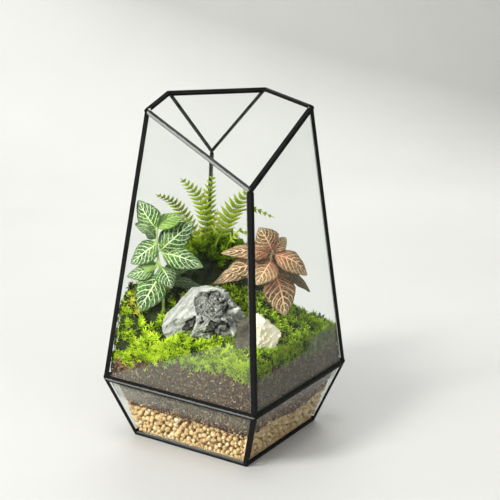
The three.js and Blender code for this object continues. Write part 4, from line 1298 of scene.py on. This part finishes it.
def edge_sprigs(accept, gold):
    """Sprigs that lean against the glass and hang over the soil."""
    heap = Heap()
    picked, low, high = drawn_columns(FRINGE_SPRIGS, 2.0, soil_height, moss_height)
    heights = low - 2.5 + (high - low - 0.5) * rng.random(FRINGE_SPRIGS) ** 0.9
    sagging = smooth((-wall_points(picked, low)[:, 0] - 60) / 14)
    heights -= 9 * sagging * rng.random(FRINGE_SPRIGS)
    wall = wall_points(picked, heights)
    keep = accept(wall[:, :2])
    wall, normals = wall[keep], outward_normals(picked, heights)[keep]
    lean = normals * 0.6 + [0, 0, 0.75] + rng.normal(0, 0.35, (len(wall), 3))
    lean[:, 2] *= np.where(rng.random(len(wall)) < 0.14, -0.4, 1)
    size = FRINGE_SIZE * rng.uniform(0.8, 1.15, len(wall))
    place_sprigs(heap, wall - normals * 2.2, lean, size, gold)
    return heap


def front(xy):
    return xy[:, 1] < MOUND_EDGE_Y


def behind(xy):
    return xy[:, 1] >= MOUND_EDGE_Y


def left_gold(p):
    corner = smooth((-p[:, 0] - 66) / 12) * smooth((p[:, 2] - 101) / 6)
    return 0.32 + 0.4 * corner + 0.12 * noise(p, 14, 5)


def mound_gold(p):
    crest = smooth((p[:, 2] - 136) / 8) * smooth((6 - p[:, 0]) / 12)
    return 0.3 + 0.45 * crest + 0.15 * noise(p, 12, 8)


moss_bed_painted_shade = Heap()
under_moss = lambda x, y: moss_height(x, y) + rock_foot_rise(x, y) - 3.6
moss_bed_painted_shade.add(*bed(soil_height, under_moss, 10, 46, 2.4, 2.6, 1.0, seed=15, relief=1.6, sunk=1.2))
nodes = ["moss_carpet", "moss_mound"]
moss_bed_painted_shade.piece("moss_bed_painted_shade", painted_shade_bed_material(), "moss_dark", nodes, pressed=True)
for name, where, look, slot, sizes, gold in (
    ("carpet", front, MOSS, "moss", (7.2, 9.8), left_gold),
    ("mound", behind, MOSS_DARK, "moss_dark", (6.4, 9.2), mound_gold),
):
    settings = look, slot, ["moss_" + name], True, False
    moss_sprigs(scatter(where), *sizes, gold).piece(f"moss_{name}_sprigs", *settings)
    edge_sprigs(where, gold).piece(f"moss_{name}_fringe", *settings)

# ------------------------------------------------------------------ plants


def spline(controls, count):
    """A Catmull-Rom curve through points, centripetal, at even steps of its parameter."""
    p = np.asarray(controls, float)
    p = np.vstack([2 * p[0] - p[1], p, 2 * p[-1] - p[-2]])
    spans = len(p) - 3
    out = []

    def blend(a, b, start, end):
        return (a * (end - t) + b * (t - start)) / (end - start)

    for u in np.linspace(0, spans, count):
        i = min(int(u), spans - 1)
        quad = p[i : i + 4]
        chords = np.linalg.norm(np.diff(quad, axis=0), axis=1)
        knots = np.concatenate([[0], np.cumsum(chords**0.5)])
        t = knots[1] + (knots[2] - knots[1]) * (u - i)
        a = [blend(quad[j], quad[j + 1], knots[j], knots[j + 1]) for j in range(3)]
        b = [blend(a[j], a[j + 1], knots[j], knots[j + 2]) for j in range(2)]
        out.append(blend(*b, knots[1], knots[2]))
    return np.array(out)


LEAF_STEPS, LEAF_STRIPS = 30, 20
BLADE_THICKNESS = 0.55
LEAF_CUP = 0.22
LEAF_FOLDS = 8.5


def leaf_blade(heap, base, tip, width, facing, arch, kind):
    """A quilted leaf that bends over its arch and droops at the edges."""
    base, tip, facing = (np.asarray(v, float) for v in (base, tip, facing))
    chord = tip - base
    length = np.linalg.norm(chord)
    lift = unit(facing - chord * (facing @ chord) / length**2)
    crown = base + 0.42 * chord + lift * 2 * arch
    u = np.linspace(0, 1, LEAF_STEPS + 1)[:, None]
    centre = (1 - u) ** 2 * base + 2 * u * (1 - u) * crown + u**2 * tip
    along = unit(2 * (1 - u) * (crown - base) + 2 * u * (tip - crown))
    side = unit(np.cross(along, lift))
    up = unit(np.cross(side, along))
    half = 0.45 + width / 2 * np.sin(np.pi * u**0.8) ** 0.8
    half *= 1 + 0.015 * np.sin(41 * u + width)
    across = np.linspace(-1, 1, LEAF_STRIPS + 1)[None, :]
    swept = u - 0.26 * np.abs(across) ** 1.25
    quilt = 0.5 - np.abs((swept * LEAF_FOLDS) % 1 - 0.5)
    relief = 0.75 * np.minimum(quilt, 0.32) * np.minimum(np.abs(across) * 4, 1) * (1 - across**4)
    waves = 0.35 * np.sin(19 * u + 3 * np.sign(across) + width) * across**4
    droop = -LEAF_CUP * half * across**2
    height = droop + (relief - 0.12 + waves) * np.minimum(1, half / 3)
    top = centre[:, None] + side[:, None] * (across * half)[:, :, None]
    top += up[:, None] * height[:, :, None]
    thickness = BLADE_THICKNESS * (1 - 0.6 * np.abs(across))
    bottom = top - up[:, None] * thickness[:, :, None]
    shares = np.broadcast_arrays(0.5 + across / 2, u)
    tone, rise = (np.tile(share.ravel(), 2) for share in shares)
    heap.add(*sheet(top, bottom), tone=tone, rise=rise, kind=kind)


LEAF_FULLNESS = 1.2
STALK_LEFT_BARE = 0.7
STEM_STEPS, STEM_RADII, STALK_RADII = 41, (1.1, 0.8), (0.75, 0.5)


def nerve_plant(name, stem, leaves, leaf_look, stem_look):
    path = spline(stem, STEM_STEPS)
    blades, stalks = Heap(), Heap()
    stalks.add(*tube(path, np.linspace(*STEM_RADII, STEM_STEPS), 12))
    for share, base, tip, width, facing, arch, kind in leaves:
        foot = path[int(round((STEM_STEPS - 1) * share))]
        start = foot + STALK_LEFT_BARE * (np.array(base) - foot)
        stalk = np.linspace(foot, start + 0.1 * (tip - start), 5)
        stalks.add(*tube(stalk, np.linspace(*STALK_RADII, 5), 8))
        leaf_blade(blades, start, tip, LEAF_FULLNESS * width, unit(facing), arch, kind)
    settings = "leaf_" + name, ["nerve_plant_" + name]
    blades.piece(f"nerve_plant_{name}_leaves", leaf_look, *settings, pressed=True)
    stalks.piece(f"nerve_plant_{name}_stems", stem_look, *settings)


WHITE_STEM = ((-53, -8, 100), (-54, -9, 129), (-57, -10, 147), (-58.5, -8.5, 163), (-58, -8, 174))
# For each leaf: where its stalk leaves the stem, as a share of it, then base, tip, width,
# facing, arch and kind: below a half the leaf is painted dark as shade, above it it is young.
WHITE_LEAVES = (
    (1, (-59, -7.5, 173.5), (-71.5, -1, 194.5), 16, (-0.8, -1, 0.15), 2, 0.5),
    (0.97, (-60.5, -5.5, 172.5), (-73.5, 1, 175.5), 9.5, (-0.2, -0.8, 0.8), 2, 0.35),
    (1, (-58, -6.5, 173.5), (-34.5, -1, 180.5), 13, (0, -0.5, 1), 5, 0.85),
    (0.74, (-54.5, -10, 153.5), (-29, -5, 177), 17.5, (0.1, -1, 0.6), 3, 0.4),
    (0.8, (-58, -9.5, 160), (-77.5, -1.5, 144.5), 14.5, (-0.45, -1, 0.6), 2, 0.5),
    (0.66, (-52.5, -12, 153), (-24, -20, 144.5), 15.5, (0.15, -1, 0.75), 4.5, 0.5),
    (0.5, (-61, -7, 137.5), (-80.5, -1, 134), 11, (-0.3, -0.8, 0.8), 2.5, 0.45),
    (0.45, (-56, -11.5, 134.5), (-73, -8, 107), 19, (-0.3, -1, 0.2), 2.5, 0.5),
    (0.52, (-55, -13.5, 141.5), (-49, -23, 129.5), 14.5, (0.1, -1, 0.75), 3.5, 0.5),
    (0.36, (-46, -5, 126.5), (-20, -2, 121.5), 10, (0, -0.5, 1), 4, 0.1),
    (0.47, (-50.5, -4, 134), (-28.5, 3, 140), 11, (0, -0.7, 1), 2.5, 0.1),
    (0.85, (-59, -9, 165.5), (-67, -5.5, 174), 7, (-0.4, -1, 0.5), 1.5, 0.15),
    (0.55, (-58.5, -9, 140.5), (-69.5, -3, 142.5), 8, (-0.3, -0.8, 1), 1.5, 0.85),
)
PINK_STEM = ((34, -12, 96), (34.5, -12, 120), (32, -13, 138), (31, -13, 147), (33, -12, 153))
PINK_LEAVES = (
    (1, (31, -12.5, 153), (21, -12, 172), 18.5, (0.1, -1, 0.35), 3, 0.5),
    (1, (33, -10.5, 153), (45, -4, 161), 10.5, (-0.2, -0.8, 0.7), 1.5, 0.35),
    (0.93, (35, -12.5, 148.5), (60, -17, 133), 17, (0.35, -0.85, 0.8), 6, 0.45),
    (0.93, (27, -14, 150), (-9, -17, 154), 14.5, (0, -0.5, 1), 4, 0.5),
    (0.86, (24, -15.5, 141), (-5.5, -22, 141), 16.5, (-0.1, -1, 0.7), 3.5, 0.5),
    (0.8, (22, -11, 140.5), (-13.5, -8.5, 127), 13, (-0.1, -0.7, 1), 4, 0.5),
    (0.86, (30.5, -16.5, 144), (15.5, -30, 131), 17.5, (-0.1, -1, 0.9), 3, 0.6),
    (0.6, (36, -16, 130.5), (41, -24.5, 102.5), 22.5, (0.15, -1, 0.4), 3, 0.5),
    (0.75, (39, -10.5, 136), (66, -6, 115.5), 12, (0.3, -0.6, 0.9), 4, 0.05),
    (0.8, (30, -9, 147.5), (23.5, -1, 158), 9, (0.7, -1, 0.1), 1.5, 0.1),
    (0.78, (34, -12.5, 142), (46, -15, 131.5), 12, (0.4, -0.8, 0.7), 2, 0.15),
    (0.95, (32, -9.5, 152), (28.5, -7, 137), 13, (0, -1, 0.15), 1.5, 0.15),
    (0.97, (34, -10, 152.5), (42, -9, 145), 9, (0.2, -1, 0.3), 1.5, 0.25),
)
LEAF_WHITE = leaf_material(
    "leaf_green_white",
    ground=((0.012, 0.05, 0.008), (0.03, 0.105, 0.016), (0.075, 0.2, 0.025)),
    vein=((0.55, 0.72, 0.22), (0.75, 0.9, 0.52), (0.8, 0.92, 0.62)),
    young=(0.2, 0.36, 0.025),
    shaded=(0.01, 0.035, 0.006),
    line=1.1,
)
LEAF_PINK = leaf_material(
    "leaf_bronze_pink",
    ground=((0.07, 0.048, 0.015), (0.17, 0.098, 0.037), (0.3, 0.165, 0.07)),
    vein=((0.8, 0.24, 0.16), (0.9, 0.58, 0.36), (0.92, 0.74, 0.48)),
    young=(0.42, 0.28, 0.12),
    shaded=(0.06, 0.06, 0.03),
    line=1.3,
)
GREEN_STEM = stem_material("stem_green", (0.25, 0.42, 0.08), (0.5, 0.66, 0.2))
BRONZE_STEM = stem_material("stem_bronze", (0.2, 0.17, 0.08), (0.42, 0.26, 0.16))
nerve_plant("white", WHITE_STEM, WHITE_LEAVES, LEAF_WHITE, GREEN_STEM)
nerve_plant("pink", PINK_STEM, PINK_LEAVES, LEAF_PINK, BRONZE_STEM)

# Fern fronds: a rib and paired, toothed leaflets. For each: the rib, the longest leaflet and
# the way across the frond.
BARE_STALK = 0.2
LEAFLET_SPACING = 4.4
LEAFLET_THICKNESS = 0.32
CLEAR_OF_MOSS = 5
RIB_STEPS, RIB_RADII = 81, (0.75, 0.3)
FRONDS = {
    "far_left": (
        ((-15.5, 37, 132), (-15.5, 36, 148), (-28, 30, 171), (-41, 21, 187), (-56, 11, 196)),
        *(6.5, (0.6, -0.5, 0.75)),
    ),
    "left": (
        ((-10.5, 42, 132), (-10.5, 42, 148), (-11.5, 40, 169), (-17, 37, 186), (-33.5, 28, 204.5)),
        *(7.8, (1, -0.1, 0.15)),
    ),
    "middle": (
        ((-6, 47, 132), (-6.5, 46, 148), (-8, 45, 169), (-7.5, 43, 188), (-5, 38, 205)),
        *(7.5, (1, -0.2, 0)),
    ),
    "right": (
        ((-4, 34, 132), (-3.5, 33, 146), (1.5, 29, 161), (9, 24, 179), (20, 18, 195.5)),
        *(11, (0.95, 0.1, -0.35)),
    ),
    "far_right": (
        ((3.5, 46, 132), (4, 45, 148), (12, 41, 166), (24, 35, 176), (43, 25, 170)),
        *(5.5, (0.35, -0.75, 0.6)),
    ),
    "low_right": (
        ((5, 32, 131), (5.5, 30, 146), (9, 25, 155), (14, 20, 161.5), (21, 15, 159)),
        *(5.5, (0.4, -0.7, 0.6)),
    ),
    "back": (((-1, 52, 132), (-1, 52, 148), (0, 55, 160), (3, 58, 171)), 6.5, (1, 0.1, 0)),
}
LEAFLET_STEPS = 10


def leaflet(heap, root, way, along, face, length, half_width):
    """A narrow toothed leaflet that curves towards the frond's tip."""
    u = np.linspace(0, 1, LEAFLET_STEPS + 1)
    taper = np.minimum(1, 0.55 + 3 * u) * (1 - u**2.2) + 0.06
    half = half_width * taper * (1 + 0.3 * (np.arange(LEAFLET_STEPS + 1) % 2))
    spine = root + np.outer(u * length, way) + np.outer(length * u**2, 0.16 * along - 0.1 * face)
    across = unit(along - way * (along @ way))
    lines = across * -1, face * 0.28, across
    top = np.stack([spine + np.outer(half, way_out) for way_out in lines])
    body = sheet(top, top - face * LEAFLET_THICKNESS)
    heap.add(*body, tone=rng.random(), rise=np.tile(u, 2 * len(lines)))


def frond(rib, longest, spread):
    """A rib with a leaflet on each side at even steps, where it stands clear of the moss."""
    heap = Heap()
    path = spline(rib, RIB_STEPS)
    heap.add(*tube(path, np.linspace(*RIB_RADII, RIB_STEPS), 8), tone=0.9, rise=0.3)
    run = np.concatenate([[0], np.cumsum(np.linalg.norm(np.diff(path, axis=0), axis=1))])
    tangents = unit(np.gradient(path, axis=0))
    pairs = int(run[-1] * (1 - BARE_STALK) / LEAFLET_SPACING)
    flat = unit(spread)
    for k in range(pairs):
        share = k / pairs
        at = (BARE_STALK + (1 - BARE_STALK) * share) * run[-1]
        root, along = (
            np.array([np.interp(at, run, axis) for axis in rows.T]) for rows in (path, tangents)
        )
        if root[2] < moss_height(root[0], root[1]) + CLEAR_OF_MOSS:
            continue
        swell = 0.25 + 1.05 * np.sin(np.pi * (0.14 + 0.86 * share)) ** 0.9
        reach = longest * swell * 0.8
        along = unit(along)
        side = unit(flat - along * (flat @ along))
        face = np.cross(side, along)
        for hand in (-1, 1):
            way = unit(side * hand * 0.9 + along * 0.4)
            leaflet(heap, root, way, along, face, reach, 0.62 + 0.095 * reach)
    return heap


FERN = fern_material()
for name, (rib, longest, spread) in FRONDS.items():
    frond(rib, longest, spread).piece("fern_" + name, FERN, "fern", ["fern_frond_" + name])

# ------------------------------------------------------------------ camera, floor, light

CAMERA_PLACE, CAMERA_LENS = (-0.19364, -0.89574, 0.40926), 86.82
camera = stand("camera", bpy.data.cameras.new("camera"))
turn = Matrix((RIGHT, UP, BACK)).transposed().to_4x4()
camera.matrix_world = Matrix.Translation(CAMERA_PLACE) @ turn
camera.data.sensor_width = 36
camera.data.lens = CAMERA_LENS
bpy.context.scene.camera = camera

FLOOR_HALF_WIDTH, FLOOR_NEAR, FLOOR_FAR, WALL_TOP, BEND = 3.5, -3.0, 0.9, 3.0, 0.5


def floor():
    """A pale table that curves up into a wall far behind."""
    m = Nodes("pale_floor")
    shades = (0.3, (0.625, 0.625, 0.61)), (0.7, (0.665, 0.665, 0.65))
    look = m.finish(Base_Color=m.ramp(m.noise(3, 4), *shades), Roughness=0.6)
    bend = [
        (FLOOR_FAR + BEND * np.sin(a), BEND - BEND * np.cos(a))
        for a in np.linspace(0.1, np.pi / 2, 12)
    ]
    profile = [(FLOOR_NEAR, 0.0), (FLOOR_FAR, 0.0), *bend, (FLOOR_FAR + BEND, WALL_TOP)]
    points = [(x, y, z) for y, z in profile for x in (-FLOOR_HALF_WIDTH, FLOOR_HALF_WIDTH)]
    faces = [(k, k + 1, k + 3, k + 2) for k in range(0, 2 * len(profile) - 2, 2)]
    mesh = bpy.data.meshes.new("floor")
    mesh.from_pydata(points, [], faces)
    mesh.shade_smooth()
    stand("floor", mesh, look)


floor()

# For each lamp: place, what it points at, size, power and colour.
LAMPS = {
    "window": ((-1.5, -0.75, 1.2), (0, 0, 0.1), (0.45, 0.45), 34, (1, 0.985, 0.95)),
    "left_panel": ((-1.7, -0.3, 0.6), (0, 0, 0.15), (1.2, 1.2), 4, (1, 1, 1)),
    "above": ((-0.1, -0.1, 1.9), (0, 0, 0.1), (0.8, 0.8), 8.5, (1, 1, 1)),
    "front_right": ((0.9, -1.3, 0.7), (0, 0, 0.1), (1, 1), 5.4, (1, 0.99, 0.95)),
    "behind": ((0.38, 1.08, 0.66), (0, 0, 0.2), (1.5, 0.6), 6.5, (1, 1, 1)),
}
for name, (place, aim, size, power, colour) in LAMPS.items():
    light = bpy.data.lights.new(name, "AREA")
    light.shape = "RECTANGLE"
    light.size, light.size_y = size
    light.energy = power
    light.color = colour
    made = stand(name, light)
    made.location = place
    made.rotation_euler = (Vector(aim) - Vector(place)).to_track_quat("-Z", "Y").to_euler()
    made.visible_camera = made.visible_transmission = False

# The room is brighter towards the window.
TOWARDS_WINDOW = (-0.9, -0.1, 0.3)
DARKEST, BRIGHTEST = 0.24, 0.5
world = bpy.data.worlds.new("soft_room")
world.use_nodes = True
background = world.node_tree.nodes["Background"]
background.inputs[0].default_value = (0.98, 1, 0.965, 1)
kinds = "TexCoord", "VectorMath", "MapRange"
direction, facing, brightness = (world.node_tree.nodes.new("ShaderNode" + kind) for kind in kinds)
facing.operation = "DOT_PRODUCT"
facing.inputs[1].default_value = TOWARDS_WINDOW
brightness.inputs["From Min"].default_value = -1
brightness.inputs["To Min"].default_value = DARKEST
brightness.inputs["To Max"].default_value = BRIGHTEST
for source, socket in (
    (direction.outputs["Generated"], facing.inputs[0]),
    (facing.outputs["Value"], brightness.inputs["Value"]),
    (brightness.outputs["Result"], background.inputs[1]),
):
    world.node_tree.links.new(source, socket)
bpy.context.scene.world = world
bpy.context.scene.view_settings.view_transform = "Standard"
